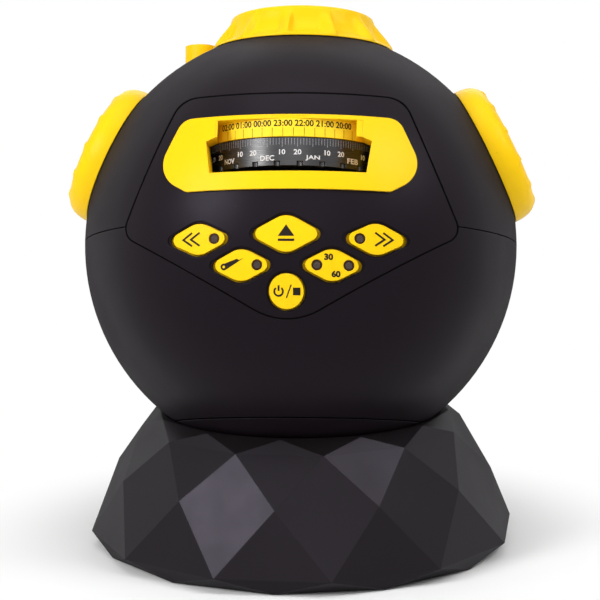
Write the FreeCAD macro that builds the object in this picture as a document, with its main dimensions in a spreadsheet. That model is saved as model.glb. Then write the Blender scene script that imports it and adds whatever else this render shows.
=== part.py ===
import FreeCAD, Part
import math
import os
import Sketcher

# A planetarium projector: a ball-shaped head that lies in a faceted foot.
# All lengths are millimetres.
# World frame: +Z up, front towards -Y, origin at the centre of the foot's underside.
# Head frame: origin at the ball's centre, z along the lens axis, y to the back. The head leans back at rest.

doc = FreeCAD.newDocument("planetarium_projector")
sheet = doc.addObject("Spreadsheet::Sheet", "Sizes")


class Size:
    """A number of the sheet or a sum made from such numbers, with the text that FreeCAD needs for it."""

    def __init__(self, value, text):
        self.value = float(value)
        self.text = text

    def __add__(self, other):
        other = as_size(other)
        return Size(self.value + other.value, "(%s + %s)" % (self.text, other.text))

    def __sub__(self, other):
        other = as_size(other)
        return Size(self.value - other.value, "(%s - %s)" % (self.text, other.text))

    def __mul__(self, other):
        other = as_size(other)
        return Size(self.value * other.value, "(%s * %s)" % (self.text, other.text))

    def __truediv__(self, other):
        other = as_size(other)
        return Size(self.value / other.value, "(%s / %s)" % (self.text, other.text))

    def __radd__(self, other):
        return as_size(other) + self

    def __rsub__(self, other):
        return as_size(other) - self

    def __rmul__(self, other):
        return as_size(other) * self

    def __neg__(self):
        return Size(-self.value, "(0 - %s)" % self.text)

    def __float__(self):
        return self.value


def as_size(number):
    if isinstance(number, Size):
        return number
    return Size(number, repr(float(number)))


def root(size):
    return Size(math.sqrt(size.value), "sqrt(%s)" % size.text)


def beside(radius, *offsets):
    """The third side: how far along its axis a sphere of this radius is at these offsets from it."""
    left = radius * radius
    for offset in offsets:
        left = left - as_size(offset) * offset
    return root(left)


class Sizes:
    """Writes the driving dimensions into the sheet and hands them out by name."""

    def __init__(self, cells):
        for row, (alias, value) in enumerate(cells.items(), 1):
            sheet.set("A%d" % row, alias)
            sheet.set("B%d" % row, repr(value))
            sheet.setAlias("B%d" % row, alias)
            setattr(self, alias, Size(value, "Sizes.%s" % alias))
        doc.recompute()


# The driving dimensions
SIZES = {
    # Ball and shells
    "ball_radius": 82.5, "ball_lift": 32.5, "lean_angle": 15.0, "shell_wall": 2.2, "seam_gap": 0.4,
    "cap_rise": 15.1, "shell_lip": 3.0, "lip_wall": 1.2, "running_gap": 0.3, "close_gap": 0.05,
    "overrun": 2.0, "boss_radius": 4.0, "boss_inset": 5.5, "boss_depth": 12.0, "ledge_inset": 8.5,
    "screw_radius": 1.5, "screw_head_radius": 2.8, "screw_head_height": 1.8, "screw_length": 9.0,
    # Front panel outline, as corners before they are rounded, seen along the drawer's way out
    "panel_top": 46.4, "panel_top_half": 39.8, "panel_side_half": 60.7, "panel_side_drop": 2.8,
    "panel_tip_drop": 37.7, "panel_top_round": 9.0, "panel_side_round": 5.5, "panel_tip_round": 22.8,
    "panel_gap": 0.5, "panel_depth": 34.0,
    # Yellow scale bezel and its window
    "bezel_top": 37.9, "bezel_top_half": 38.5, "bezel_side_half": 47.9, "bezel_side_height": 17.4,
    "bezel_bottom": 10.2, "bezel_bottom_half": 36.0, "bezel_top_round": 6.0, "bezel_side_round": 10.0,
    "bezel_bottom_round": 3.5, "bezel_proud": 1.0, "window_top": 36.2, "window_top_half": 30.8,
    "window_bottom": 16.6, "window_bottom_half": 27.5, "bezel_wall": 1.2, "band_radius": 31.3,
    "window_corner_half": 29.2, "window_corner_height": 28.4, "hours_half": 26.0,
    "band_wall": 1.5,
    # Drawer gear train: the date dial and the disc carrier have the same number of teeth
    "gear_module": 1.0, "train_teeth": 44.0, "pinion_teeth": 11.0, "gear_thickness": 2.5,
    "tooth_play": 0.12, "tray_bottom": 13.0, "tray_thickness": 2.6, "tray_half": 38.0, "tray_back": 38.0,
    "runner_width": 2.5, "runner_height": 1.6, "dial_radius": 31.0, "dial_wall": 1.6, "dial_base": 19.6,
    "dial_top": 29.5, "dial_hub_radius": 5.0, "dial_pin_radius": 2.0, "notch_radius": 1.1,
    "notch_count": 24.0, "journal_radius": 19.5, "journal_wall": 2.5, "disc_radius": 18.5,
    "disc_thickness": 0.6, "motor_radius": 7.0, "motor_length": 12.5, "motor_shaft_radius": 1.0,
    "drawer_wall_inset": 22.1, "drawer_wall": 2.4, "drawer_wall_half": 47.0, "drawer_wall_drop": 30.0,
    "board_thickness": 1.6, "drawer_travel": 80.0,
    # Keys
    "key_proud": 0.6, "key_thickness": 5.5, "key_gap": 0.5, "key_flange": 0.6, "key_flange_wall": 1.2,
    "key_travel": 0.8, "key_stem_radius": 2.0, "key_end_round": 2.4, "key_crown_round": 7.0,
    "lamp_window_radius": 1.85, "power_key_radius": 6.0, "switch_width": 6.0, "switch_height": 3.6,
    "key_lamp_height": 1.4, "panel_boss_radius": 2.5, "key_dish_reach": 0.5, "key_dish_depth": 0.4,
    "outer_key_x": 31.0, "outer_key_drop": 6.8,
    "outer_key_half": 12.4, "outer_key_rise": 6.1, "outer_lamp_x": 25.4, "inner_key_x": 15.8,
    "inner_key_drop": 16.2, "inner_key_half": 12.0, "inner_key_rise": 6.2, "eject_key_drop": 5.5,
    "eject_key_half": 13.4, "eject_key_rise": 7.2, "power_key_drop": 25.2, "meteor_lamp_x": 10.2,
    "timer_lamp_near_x": 10.6, "timer_lamp_far_x": 21.6,
    # Focus ring, sleeve and lens at the top
    "ring_foot_radius": 35.4, "ring_waist_radius": 30.2, "ring_waist_sink": 0.5,
    "ring_neck_radius": 27.6, "ring_neck_rise": 3.1, "ring_top_radius": 25.6, "ring_top_rise": 5.9,
    "ring_mouth_radius": 22.0, "rib_count": 12.0, "rib_foot_rise": 1.5, "rib_neck_rise": 0.9,
    "sleeve_radius": 26.4, "sleeve_wall": 2.0, "sleeve_bottom": 46.0, "sleeve_rise": 1.5,
    "sleeve_flange_radius": 34.0, "sleeve_flange_wall": 2.4, "barrel_sink": 30.5, "barrel_bore": 19.5,
    "lens_radius": 19.0, "lens_edge": 3.0, "lens_bulge": 3.2, "lens_sink": 10.5, "focus_travel": 3.0,
    # Side bezels with their speakers; distances run outwards from the ball's centre
    "pod_angle": 26.0, "pod_foot_radius": 27.4, "pod_waist_radius": 27.0, "pod_waist_rise": 0.5,
    "pod_shoulder_radius": 25.4, "pod_shoulder_rise": 3.7, "pod_face_rise": 6.3, "pod_face_radius": 21.5,
    "pod_mouth_radius": 19.0, "pod_collar_radius": 22.2, "pod_collar_wall": 1.6, "pod_collar_sink": 11.5,
    "pod_rib_rise": 0.8, "grille_thickness": 1.6, "grille_seat_rise": 2.1, "speaker_radius": 18.6,
    "speaker_depth": 15.0, "magnet_radius": 9.5, "magnet_depth": 5.0, "cone_radius": 14.5,
    "cone_throat": 4.5, "grille_hole_radius": 0.9,
    # Small projector tube for the meteor
    "meteor_tube_x": 41.1, "meteor_tube_y": 16.0, "meteor_tube_radius": 6.2, "meteor_tube_wall": 1.2,
    "meteor_tube_rise": 11.7, "meteor_tube_length": 24.0, "meteor_lens_height": 2.2,
    # Chassis, lamp and battery holder
    "chassis_top": 12.0, "chassis_wall": 2.0, "chassis_inset": 6.5, "rail_wall": 2.4, "rail_back": 44.0,
    "rail_hold": 10.0, "lamp_house_radius": 15.0, "lamp_house_wall": 1.5, "lamp_house_top": 10.5,
    "condenser_radius": 13.2, "condenser_edge": 2.0, "condenser_bulge": 3.6, "condenser_height": 3.6,
    "lamp_board_radius": 10.0, "lamp_radius": 2.5, "heat_sink_radius": 17.0, "heat_sink_depth": 10.0,
    "fin_count": 7.0, "fin_wall": 1.4, "post_radius": 3.2, "holder_height": 19.5, "holder_inset": 17.0,
    "cell_radius": 7.2, "cell_length": 49.2, "cell_nub_radius": 2.7, "cell_nub": 1.3, "cell_count": 3.0,
    "holder_wall": 1.6, "contact_wall": 0.5, "contact_half": 4.0,
    # Main board with its inlets and the volume wheel
    "main_board_inset": 24.5, "main_board_half": 30.0, "main_board_drop": 40.0, "inlet_drop": 10.0,
    "dc_inlet_x": 16.0, "dc_snout_radius": 4.2, "dc_bore_radius": 3.15, "dc_bore_depth": 9.0,
     "dc_box": 11.0, "audio_inlet_x": 2.0, "audio_snout_radius": 3.0,
    "audio_bore_radius": 1.8, "audio_bore_depth": 14.0,  "audio_box": 7.0,
    "wheel_x": 21.0, "wheel_proud": 2.4, "wheel_radius": 8.5, "wheel_thickness": 3.0, "wheel_pin_radius": 1.5,
    "knurl_radius": 0.5, "knurl_count": 20.0, "pot_height": 6.0,
    # Foot: twelve-sided rings of corners, from the rim down to the table
    "foot_sides": 12.0, "foot_turn": 4.5, "rim_radius": 57.0, "rim_reach": 2.3, "rim_bevel_width": 5.2,
    "rim_bevel_drop": 5.0, "lower_radius": 82.6, "lower_height": 5.9, "middle_height": 29.9,
    "bottom_inset": 4.5, "foot_wall": 2.6, "rim_gap": 0.4, "seat_ring_wall": 1.5,
    "seat_ring_height": 10.7, "seat_ring_sink": 5.5, "bowl_wall": 2.4, "plate_thickness": 2.2,
    "plate_inset": 2.6, "plate_recess": 1.4, "pad_radius": 7.0, "pad_ring": 58.0, "base_boss_radius": 3.6,
    "base_boss_ring": 56.0, "foot_lift": 0.5,
}
S = Sizes(SIZES)
ZERO = as_size(0)

# Sizes that follow from others
S.ball_height = S.ball_radius + S.ball_lift
S.cap_seam_drop = S.ball_radius - S.cap_rise
S.boss_ring = S.ball_radius - S.boss_inset
S.ledge_ring = S.ball_radius - S.ledge_inset
S.drawer_wall_y = S.ball_radius - S.drawer_wall_inset
S.ring_waist_height = S.ball_radius - S.ring_waist_sink
S.ring_neck_height = S.ball_radius + S.ring_neck_rise
S.ring_top_height = S.ball_radius + S.ring_top_rise
S.sleeve_top = S.ball_radius + S.sleeve_rise
S.lens_height = S.ball_radius - S.lens_sink
S.barrel_bottom = S.ball_radius - S.barrel_sink
S.pod_waist = S.ball_radius + S.pod_waist_rise
S.pod_shoulder = S.ball_radius + S.pod_shoulder_rise
S.pod_face = S.ball_radius + S.pod_face_rise
S.grille_seat = S.ball_radius + S.grille_seat_rise
S.pod_collar_start = S.ball_radius - S.pod_collar_sink
S.meteor_tube_top = beside(S.ball_radius, S.meteor_tube_x, S.meteor_tube_y) + S.meteor_tube_rise
S.chassis_radius = S.ball_radius - S.chassis_inset
S.holder_bottom = S.ball_radius - S.holder_inset
S.holder_top = S.holder_bottom - S.holder_height
S.main_board_y = S.ball_radius - S.main_board_inset
S.wheel_y = beside(S.ball_radius, S.wheel_x, S.inlet_drop) + S.wheel_proud - S.wheel_radius
S.rim_height = S.ball_height - beside(S.ball_radius + S.rim_reach, S.rim_radius)
S.upper_radius = S.rim_radius + S.rim_bevel_width
S.upper_height = S.rim_height - S.rim_bevel_drop
S.bottom_radius = S.lower_radius - S.bottom_inset
S.seat_ring_top = S.rim_height - S.seat_ring_sink
S.seat_ring_bottom = S.seat_ring_top - S.seat_ring_height

X_AXIS = FreeCAD.Vector(1, 0, 0)
Y_AXIS = FreeCAD.Vector(0, 1, 0)
Z_AXIS = FreeCAD.Vector(0, 0, 1)
ALONG_Z = FreeCAD.Rotation()
ALONG_Y = FreeCAD.Rotation(X_AXIS, -90)
ALONG_X = FreeCAD.Rotation(Y_AXIS, 90)
WORLD = FreeCAD.Placement()
HEAD = FreeCAD.Placement(FreeCAD.Vector(0, 0, S.ball_height.value),
                         FreeCAD.Rotation(X_AXIS, -S.lean_angle.value))
RIGHT = FreeCAD.Rotation(Y_AXIS, 90 - S.pod_angle.value)
LEFT = FreeCAD.Rotation(Y_AXIS, S.pod_angle.value - 90)
HALF_SHARE = 0.5
# Turn and rise of a ratchet rib's corners
RATCHET_SHARES = [(0.0, 0.0), (0.13, 1.0), (0.5, 0.62), (0.8, 0.2)]
RIB_TURN = 9
GRILLE_RINGS = 4
HEXAGON_SIDES = 6
PRESSURE_ANGLE = math.radians(20)
# Depth and height of a gear tooth from its pitch line, in modules
ROOT_SHARE, TIP_SHARE = 1.2, 0.9
finished = []


def bind(thing, **sizes):
    for name, size in sizes.items():
        thing.setExpression(name, as_size(size).text)


def place(thing, x, y, z, rotation=ALONG_Z):
    """Stands a thing at a bound place."""
    thing.Placement = FreeCAD.Placement(FreeCAD.Vector(float(x), float(y), float(z)), rotation)
    for axis, size in zip("xyz", (x, y, z)):
        if isinstance(size, Size):
            thing.setExpression(".Placement.Base." + axis, size.text)
    return thing


def cylinder(name, radius, height, x=0, y=0, z=0, rotation=ALONG_Z):
    thing = doc.addObject("Part::Cylinder", name)
    bind(thing, Radius=radius, Height=height)
    return place(thing, x, y, z, rotation)


def sphere(name, radius, x=0, y=0, z=0):
    thing = doc.addObject("Part::Sphere", name)
    bind(thing, Radius=radius)
    return place(thing, x, y, z)


def box(name, low, high):
    """A box between two corners."""
    low = [as_size(size) for size in low]
    high = [as_size(size) for size in high]
    thing = doc.addObject("Part::Box", name)
    bind(thing, Length=high[0] - low[0], Width=high[1] - low[1], Height=high[2] - low[2])
    return place(thing, *low)


def fuse(name, *things):
    joined = doc.addObject("Part::MultiFuse", name)
    joined.Shapes = list(things)
    return joined


def group(name, *things):
    """Separate solids that share a node."""
    held = doc.addObject("Part::Compound", name)
    held.Links = list(things)
    return held


def cut(name, base, *tools):
    trimmed = doc.addObject("Part::Cut", name)
    trimmed.Base = base
    trimmed.Tool = tools[0] if len(tools) == 1 else fuse(name + "_tools", *tools)
    return trimmed


def common(name, base, tool):
    shared = doc.addObject("Part::Common", name)
    shared.Base = base
    shared.Tool = tool
    return shared


def tube(name, outer, inner, height, x=0, y=0, z=0, rotation=ALONG_Z):
    wall = cylinder(name + "_outside", outer, height, x, y, z, rotation)
    bore = cylinder(name + "_bore", inner, height, x, y, z, rotation)
    return cut(name, wall, bore)


def ball_shell(name, outer, inner):
    return cut(name, sphere(name + "_outside", outer), sphere(name + "_inside", inner))


def plane_of(body, role):
    for feature in body.Origin.OriginFeatures:
        if feature.Role == role:
            return feature
    raise ValueError(role)


def outline_sketch(body, role, points, offset):
    """A closed outline whose corners are all pinned to bound sizes."""
    sketch = body.newObject("Sketcher::SketchObject", body.Name + "_outline")
    sketch.AttachmentSupport = [(plane_of(body, role), "")]
    sketch.MapMode = "FlatFace"
    sketch.AttachmentOffset = FreeCAD.Placement(FreeCAD.Vector(0, 0, float(offset)), FreeCAD.Rotation())
    if isinstance(offset, Size):
        sketch.setExpression(".AttachmentOffset.Base.z", offset.text)
    corners = [FreeCAD.Vector(float(a), float(b), 0) for a, b in points]
    count = len(corners)
    sides = [Part.LineSegment(corners[i], corners[(i + 1) % count]) for i in range(count)]
    sketch.addGeometry(sides, False)
    sketch.addConstraint([Sketcher.Constraint("Coincident", i, 2, (i + 1) % count,
                                              1) for i in range(count)])
    for i, point in enumerate(points):
        for kind, axis, size in (("DistanceX", -2, point[0]), ("DistanceY", -1, point[1])):
            size = as_size(size)
            if size.value == 0:
                sketch.addConstraint(Sketcher.Constraint("PointOnObject", i, 1, axis))
                continue
            index = sketch.addConstraint(Sketcher.Constraint(kind, -1, 1, i, 1, size.value))
            sketch.setExpression("Constraints[%d]" % index, size.text)
    return sketch


def turned(name, points, placement=None):
    """A solid of revolution about z. Points are (radius, height)."""
    body = doc.addObject("PartDesign::Body", name)
    sketch = outline_sketch(body, "XZ_Plane", points, 0)
    feature = body.newObject("PartDesign::Revolution", name + "_turn")
    feature.Profile = sketch
    feature.ReferenceAxis = (sketch, ["V_Axis"])
    feature.Angle = 360
    sketch.Visibility = False
    if placement is not None:
        body.Placement = placement
    return body


def slab(name, points, low, high, role="XY_Plane", rounds=()):
    """A flat-sided solid between two levels. Rounds are (corner numbers, radius)."""
    body = doc.addObject("PartDesign::Body", name)
    sketch = outline_sketch(body, role, points, low)
    feature = body.newObject("PartDesign::Pad", name + "_pad")
    feature.Profile = sketch
    bind(feature, Length=as_size(high) - low)
    for corners, radius in rounds:
        doc.recompute()
        wanted = [points[i] for i in corners]
        rounding = body.newObject("PartDesign::Fillet", name + "_round")
        rounding.Base = (feature, side_edges(feature, wanted, role))
        bind(rounding, Radius=radius)
        feature = rounding
    body.Tip = feature
    return body


def side_edges(feature, wanted, role):
    """The edges that stand on the wanted corners of a pad's outline."""
    second = 2 if role == "XZ_Plane" else 1
    names = []
    for number, edge in enumerate(feature.Shape.Edges, 1):
        ends = [vertex.Point for vertex in edge.Vertexes]
        if len(ends) != 2:
            continue
        for a, b in wanted:
            if all(abs(end[0] - float(a)) + abs(end[second] - float(b)) < S.close_gap.value for end in ends):
                names.append("Edge%d" % number)
    return names


def finish(label, thing, frame=HEAD):
    """Names a finished piece and sets it in the world."""
    thing.Label = label
    thing.Placement = frame.multiply(thing.Placement)
    finished.append(thing)
    return thing


def mirrored_outline(half):
    """Completes a right half, listed from the top down, with its mirror image."""
    left = [(-a, b) for a, b in reversed(half) if as_size(a).value != 0]
    return half + left


def panel_prism(name, spread):
    """The front panel's outline as a prism towards the front, wider all round by a spread."""
    half = [
        (S.panel_top_half + spread, S.panel_top + spread),
        (S.panel_side_half + spread, -S.panel_side_drop),
        (0, -S.panel_tip_drop - spread),
    ]
    rounds = [((0, 4), S.panel_top_round), ((1, 3), S.panel_side_round), ((2,), S.panel_tip_round)]
    return slab(name, mirrored_outline(half), S.panel_depth, S.ball_radius + S.overrun, "XZ_Plane", rounds)


def bezel_prism(name):
    half = [
        (S.bezel_top_half, S.bezel_top),
        (S.bezel_side_half, S.bezel_side_height),
        (S.bezel_bottom_half, S.bezel_bottom),
    ]
    rounds = [((0, 5), S.bezel_top_round), ((1, 4), S.bezel_side_round), ((2, 3), S.bezel_bottom_round)]
    return slab(name, mirrored_outline(half), S.panel_depth, S.ball_radius + S.overrun, "XZ_Plane", rounds)


def window_prism(name, spread, depth):
    half = [
        (S.window_top_half + spread, S.window_top + spread),
        (S.window_bottom_half + spread, S.window_bottom - spread),
    ]
    return slab(name, mirrored_outline(half), depth, S.ball_radius + S.overrun, "XZ_Plane")


def dial_opening(name, depth):
    """The lower part of the window, where the date dial shows."""
    half = [
        (S.hours_half, S.dial_top + S.running_gap),
        (S.window_corner_half, S.window_corner_height),
        (S.window_bottom_half, S.window_bottom),
    ]
    return slab(name, mirrored_outline(half), depth, S.ball_radius + S.overrun, "XZ_Plane")


def key_outline(x, drop, half, rise, spread):
    """A pointed key seen from the front. The spread moves its four flanks out alike."""
    slant = root(half * half + rise * rise)
    wide = half + spread * slant / rise
    tall = rise + spread * slant / half
    return [(x, tall - drop), (x + wide, -drop), (x, -drop - tall), (x - wide, -drop)]


def key_prism(name, place_and_shape, spread):
    points = key_outline(*place_and_shape, spread)
    rounds = [((1, 3), S.key_end_round), ((0, 2), S.key_crown_round)]
    return slab(name, points, S.panel_depth, S.ball_radius + S.overrun, "XZ_Plane", rounds)


def front_cylinder(name, radius, x, z, start, end):
    """A cylinder along the drawer's way, from one distance in front of the centre to another."""
    return cylinder(name, radius, as_size(end) - start, x, -as_size(end), z, ALONG_Y)


POINTED_KEYS = {
    "rewind_key": (-S.outer_key_x, S.outer_key_drop, S.outer_key_half, S.outer_key_rise),
    "forward_key": (S.outer_key_x, S.outer_key_drop, S.outer_key_half, S.outer_key_rise),
    "eject_key": (ZERO, S.eject_key_drop, S.eject_key_half, S.eject_key_rise),
    "meteor_key": (-S.inner_key_x, S.inner_key_drop, S.inner_key_half, S.inner_key_rise),
    "timer_key": (S.inner_key_x, S.inner_key_drop, S.inner_key_half, S.inner_key_rise),
}
KEY_LAMPS = {
    "rewind_key": [-S.outer_lamp_x],
    "forward_key": [S.outer_lamp_x],
    "eject_key": [],
    "meteor_key": [-S.meteor_lamp_x],
    "timer_key": [S.timer_lamp_near_x, S.timer_lamp_far_x],
}
BOARD_FRONT = S.drawer_wall_y + S.board_thickness
SWITCH_FRONT = BOARD_FRONT + S.switch_height
INNER_RADIUS = S.ball_radius - S.shell_wall


def half_space(name, low, high):
    reach = S.ball_radius + S.overrun
    return box(name, (-reach, -reach, low), (reach, reach, high))


def ring_places(angles, radius):
    return [(radius * math.cos(math.radians(a)), radius * math.sin(math.radians(a))) for a in angles]


SHELL_BOSS_ANGLES = (12, 60, 120, 168)
LEDGE_ANGLES = (45, 135, 215, 325)


def speaker_hole(name, rotation):
    return cylinder(name, S.pod_collar_radius + S.close_gap, S.ball_radius, 0, 0, 0, rotation)


def pod_cutter(name, rotation):
    """The hole of one side bezel, cut only through the wall on that side."""
    hole = speaker_hole(name + "_hole", rotation)
    return cut(name, hole, sphere(name + "_core", S.pod_collar_start - S.overrun))


def upper_shell():
    top = common("upper_dome", ball_shell("upper_ball", S.ball_radius, INNER_RADIUS),
                 half_space("upper_half", S.seam_gap, S.ball_radius + S.overrun))
    bosses = []
    for i, (x, y) in enumerate(ring_places(SHELL_BOSS_ANGLES, S.boss_ring)):
        bosses.append(cylinder("upper_boss_%d" % i, S.boss_radius, S.boss_depth, x, y, 0))
    studs = common("upper_bosses", group("upper_boss_set", *bosses),
                   sphere("upper_trim", S.ball_radius - S.shell_wall / 2))
    dome = fuse("upper_dome_with_bosses", top, studs)
    tube_gap = S.meteor_tube_radius + S.close_gap
    holes = [
        panel_prism("upper_opening", S.panel_gap),
        cylinder("sleeve_hole", S.sleeve_radius + S.close_gap, S.ball_radius + S.overrun),
        pod_cutter("right_pod_hole", RIGHT),
        pod_cutter("left_pod_hole", LEFT),
        cylinder("meteor_hole", tube_gap, S.ball_radius, -S.meteor_tube_x, S.meteor_tube_y, 0),
    ]
    for i, (x, y) in enumerate(ring_places(SHELL_BOSS_ANGLES, S.boss_ring)):
        holes.append(cylinder("upper_pilot_%d" % i, S.screw_radius, S.screw_length, x, y, -S.overrun))
    finish("upper_shell", cut("upper_shell_cut", dome, *holes))


def lower_shell():
    zone = half_space("lower_zone", -S.cap_seam_drop, ZERO)
    bowl = common("lower_bowl", ball_shell("lower_ball", S.ball_radius, INNER_RADIUS), zone)
    lip_zone = half_space("lip_zone", -S.shell_lip, S.shell_lip)
    lip_outer = INNER_RADIUS - S.close_gap
    lip = common("seam_lip", ball_shell("lip_ball", lip_outer + S.close_gap * 2, lip_outer - S.lip_wall),
                 lip_zone)
    lip_low = common("seam_lip_low", lip, half_space("lip_low_zone", -S.shell_lip, ZERO))
    high_ball = ball_shell("lip_high_ball", lip_outer, lip_outer - S.lip_wall)
    high_zone = half_space("lip_high_zone", -S.seam_gap, S.shell_lip)
    gaps = []
    for i, (x, y) in enumerate(ring_places(SHELL_BOSS_ANGLES, S.boss_ring)):
        gaps.append(cylinder("lip_gap_%d" % i, S.boss_radius + S.running_gap, S.shell_lip * 2, x, y, 0))
    lip_high = cut("seam_lip_open", common("seam_lip_high", high_ball, high_zone), *gaps)
    parts = [bowl, lip_low, lip_high]
    trim = S.ball_radius - S.shell_wall / 2
    posts = []
    for i, (x, y) in enumerate(ring_places(SHELL_BOSS_ANGLES, S.boss_ring)):
        posts.append(cylinder("lower_boss_%d" % i, S.boss_radius, S.boss_depth, x, y, -S.boss_depth))
    low = S.chassis_top + S.chassis_wall
    for i, (x, y) in enumerate(ring_places(LEDGE_ANGLES, S.ledge_ring)):
        posts.append(cylinder("ledge_%d" % i, S.boss_radius, S.boss_depth, x, y, -low - S.boss_depth))
    parts.append(common("lower_posts", group("lower_post_set", *posts), sphere("lower_trim", trim)))
    solid = fuse("lower_solid", *parts)
    holes = [panel_prism("lower_opening", S.panel_gap)]
    for i, (x, y) in enumerate(ring_places(SHELL_BOSS_ANGLES, S.boss_ring)):
        clear = S.screw_radius + S.close_gap
        holes.append(cylinder("lower_clear_%d" % i, clear, S.boss_depth * 2, x, y,
                              -S.boss_depth - S.overrun))
        sink = S.screw_head_radius + S.running_gap
        deep = S.screw_head_height + S.overrun
        holes.append(cylinder("lower_sink_%d" % i, sink, deep, x, y, -S.boss_depth - deep))
    for name, radius, x in (("dc", S.dc_snout_radius, -S.dc_inlet_x),
                            ("audio", S.audio_snout_radius, S.audio_inlet_x)):
        holes.append(cylinder(name + "_hole", radius + S.running_gap, S.ball_radius, x, ZERO,
                              -S.inlet_drop, ALONG_Y))
    slot = S.wheel_thickness / 2 + S.running_gap
    half = S.wheel_radius + S.running_gap
    holes.append(box("wheel_slot", (S.wheel_x - half, S.wheel_y, -S.inlet_drop - slot),
                     (S.wheel_x + half, S.ball_radius, -S.inlet_drop + slot)))
    finish("lower_shell", cut("lower_shell_cut", solid, *holes))


upper_shell()
lower_shell()


def panel_screw_places():
    """Where the tray's front wall is screwed to the panel, as (x, z)."""
    low_x = S.power_key_radius + S.key_flange + S.key_gap + S.panel_boss_radius * 2
    low_z = -S.power_key_drop - S.screw_radius
    return [(S.bezel_top_half + S.boss_radius, S.inner_key_rise),
            (-S.bezel_top_half - S.boss_radius, S.inner_key_rise),
            (low_x, low_z), (-low_x, low_z)]


def key_dishes(key_hole):
    """The shallow steps in the panel's face around the keys."""
    spread = S.key_gap + S.key_dish_reach
    edges = [key_prism(name + "_dish", shape, spread) for name, shape in POINTED_KEYS.items()]
    far = S.ball_radius + S.overrun
    edges.append(front_cylinder("power_dish", key_hole + S.key_dish_reach, 0, -S.power_key_drop,
                                S.panel_depth, far))
    skin = ball_shell("dish_skin", far, S.ball_radius - S.key_dish_depth)
    return common("key_dishes", skin, group("key_dish_set", *edges))


def front_panel():
    skin = common("panel_skin", ball_shell("panel_ball", S.ball_radius, INNER_RADIUS),
                  panel_prism("panel_edge", 0))
    bosses = []
    for i, (x, z) in enumerate(panel_screw_places()):
        boss = front_cylinder("panel_boss_%d" % i, S.panel_boss_radius, x, z, S.drawer_wall_y,
                              S.ball_radius)
        bosses.append(boss)
    studs = common("panel_studs", group("panel_boss_set", *bosses),
                   sphere("panel_trim", S.ball_radius - S.shell_wall / 2))
    holes = [window_prism("bezel_seat", S.bezel_wall + S.close_gap, S.drawer_wall_y - S.overrun)]
    for name, shape in POINTED_KEYS.items():
        holes.append(key_prism(name + "_opening", shape, S.key_gap))
    key_hole = S.power_key_radius + S.key_gap
    low = S.drawer_wall_y + S.overrun
    holes.append(front_cylinder("power_opening", key_hole, 0, -S.power_key_drop, low, S.ball_radius))
    for i, (x, z) in enumerate(panel_screw_places()):
        depth = S.drawer_wall_y + S.screw_length - S.overrun
        holes.append(front_cylinder("panel_pilot_%d" % i, S.screw_radius - S.close_gap, x, z,
                                    S.drawer_wall_y - S.overrun, depth))
    pierced = cut("panel_pierced", fuse("panel_solid", skin, studs), *holes)
    finish("front_panel", cut("front_panel_cut", pierced, key_dishes(key_hole)))


def dial_space(name):
    """The room that the date dial turns in."""
    radius = S.dial_radius + S.running_gap
    return cylinder(name, radius, S.dial_top + S.running_gap, 0, -TRAIN_SPAN, 0)


def scale_bezel():
    plate = common("bezel_plate", ball_shell("bezel_ball", S.ball_radius + S.bezel_proud, S.ball_radius),
                   bezel_prism("bezel_edge"))
    low = S.drawer_wall_y + S.running_gap
    collar = common("bezel_collar", window_prism("collar_outside", S.bezel_wall, low),
                    sphere("collar_trim", S.ball_radius + S.bezel_proud / 2))
    foot = S.dial_top + S.running_gap
    hours_space = box("hours_space", (-S.hours_half, -S.ball_radius - S.overrun, foot - S.overrun),
                      (S.hours_half, -low + S.overrun, S.window_top))
    bezel = cut("bezel_open", fuse("bezel_solid", plate, collar), hours_space,
                dial_opening("dial_opening", low - S.overrun))
    ring = tube("band_ring", S.band_radius, S.band_radius - S.band_wall,
                S.window_top + S.bezel_wall - foot, 0, -TRAIN_SPAN, foot)
    front = box("band_front", (-S.hours_half - S.bezel_wall, -S.ball_radius, 0),
                (S.hours_half + S.bezel_wall, -low, S.window_top + S.bezel_wall))
    band = common("hours_band", ring, front)
    whole = fuse("bezel_with_band", bezel, band)
    finish("scale_bezel", cut("scale_bezel_cut", whole, dial_space("bezel_dial_space")))


def key_solid(name, edge, flange_edge, x, drop, lamps):
    """A key cap with its retaining flange, its stem and the holes for its lamp windows."""
    outer = S.ball_radius + S.key_proud
    cap = common(name + "_cap", ball_shell(name + "_ball", outer, outer - S.key_thickness), edge)
    seat = INNER_RADIUS - S.close_gap * 3
    flange = common(name + "_flange", ball_shell(name + "_flange_ball", seat, seat - S.key_flange_wall),
                    flange_edge)
    stem_tip = SWITCH_FRONT + S.key_travel + S.close_gap * 2
    stem = front_cylinder(name + "_stem", S.key_stem_radius, x, -as_size(drop), stem_tip, S.ball_radius)
    stem_in = common(name + "_stem_in", stem, sphere(name + "_stem_trim", outer - S.key_thickness / 2))
    solid = fuse(name + "_solid", cap, flange, stem_in)
    if not lamps:
        return solid
    holes = []
    for i, lamp in enumerate(lamps):
        radius = S.lamp_window_radius + S.close_gap
        holes.append(front_cylinder("%s_lamp_hole_%d" % (name, i), radius, lamp, -drop, S.panel_depth,
                                    S.ball_radius + S.overrun))
    return cut(name + "_cut", solid, *holes)


def lamp_windows(name, drop, lamps):
    """Smoky windows that stand in the key's lamp holes, level with its face."""
    rods = []
    for i, lamp in enumerate(lamps):
        start = BOARD_FRONT + S.key_lamp_height + S.key_travel + S.close_gap
        rods.append(front_cylinder("%s_rod_%d" % (name, i), S.lamp_window_radius, lamp, -drop, start,
                                   S.ball_radius + S.overrun))
    return common(name, group(name + "_rods", *rods),
                  sphere(name + "_trim", S.ball_radius + S.key_proud / 2))


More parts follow.
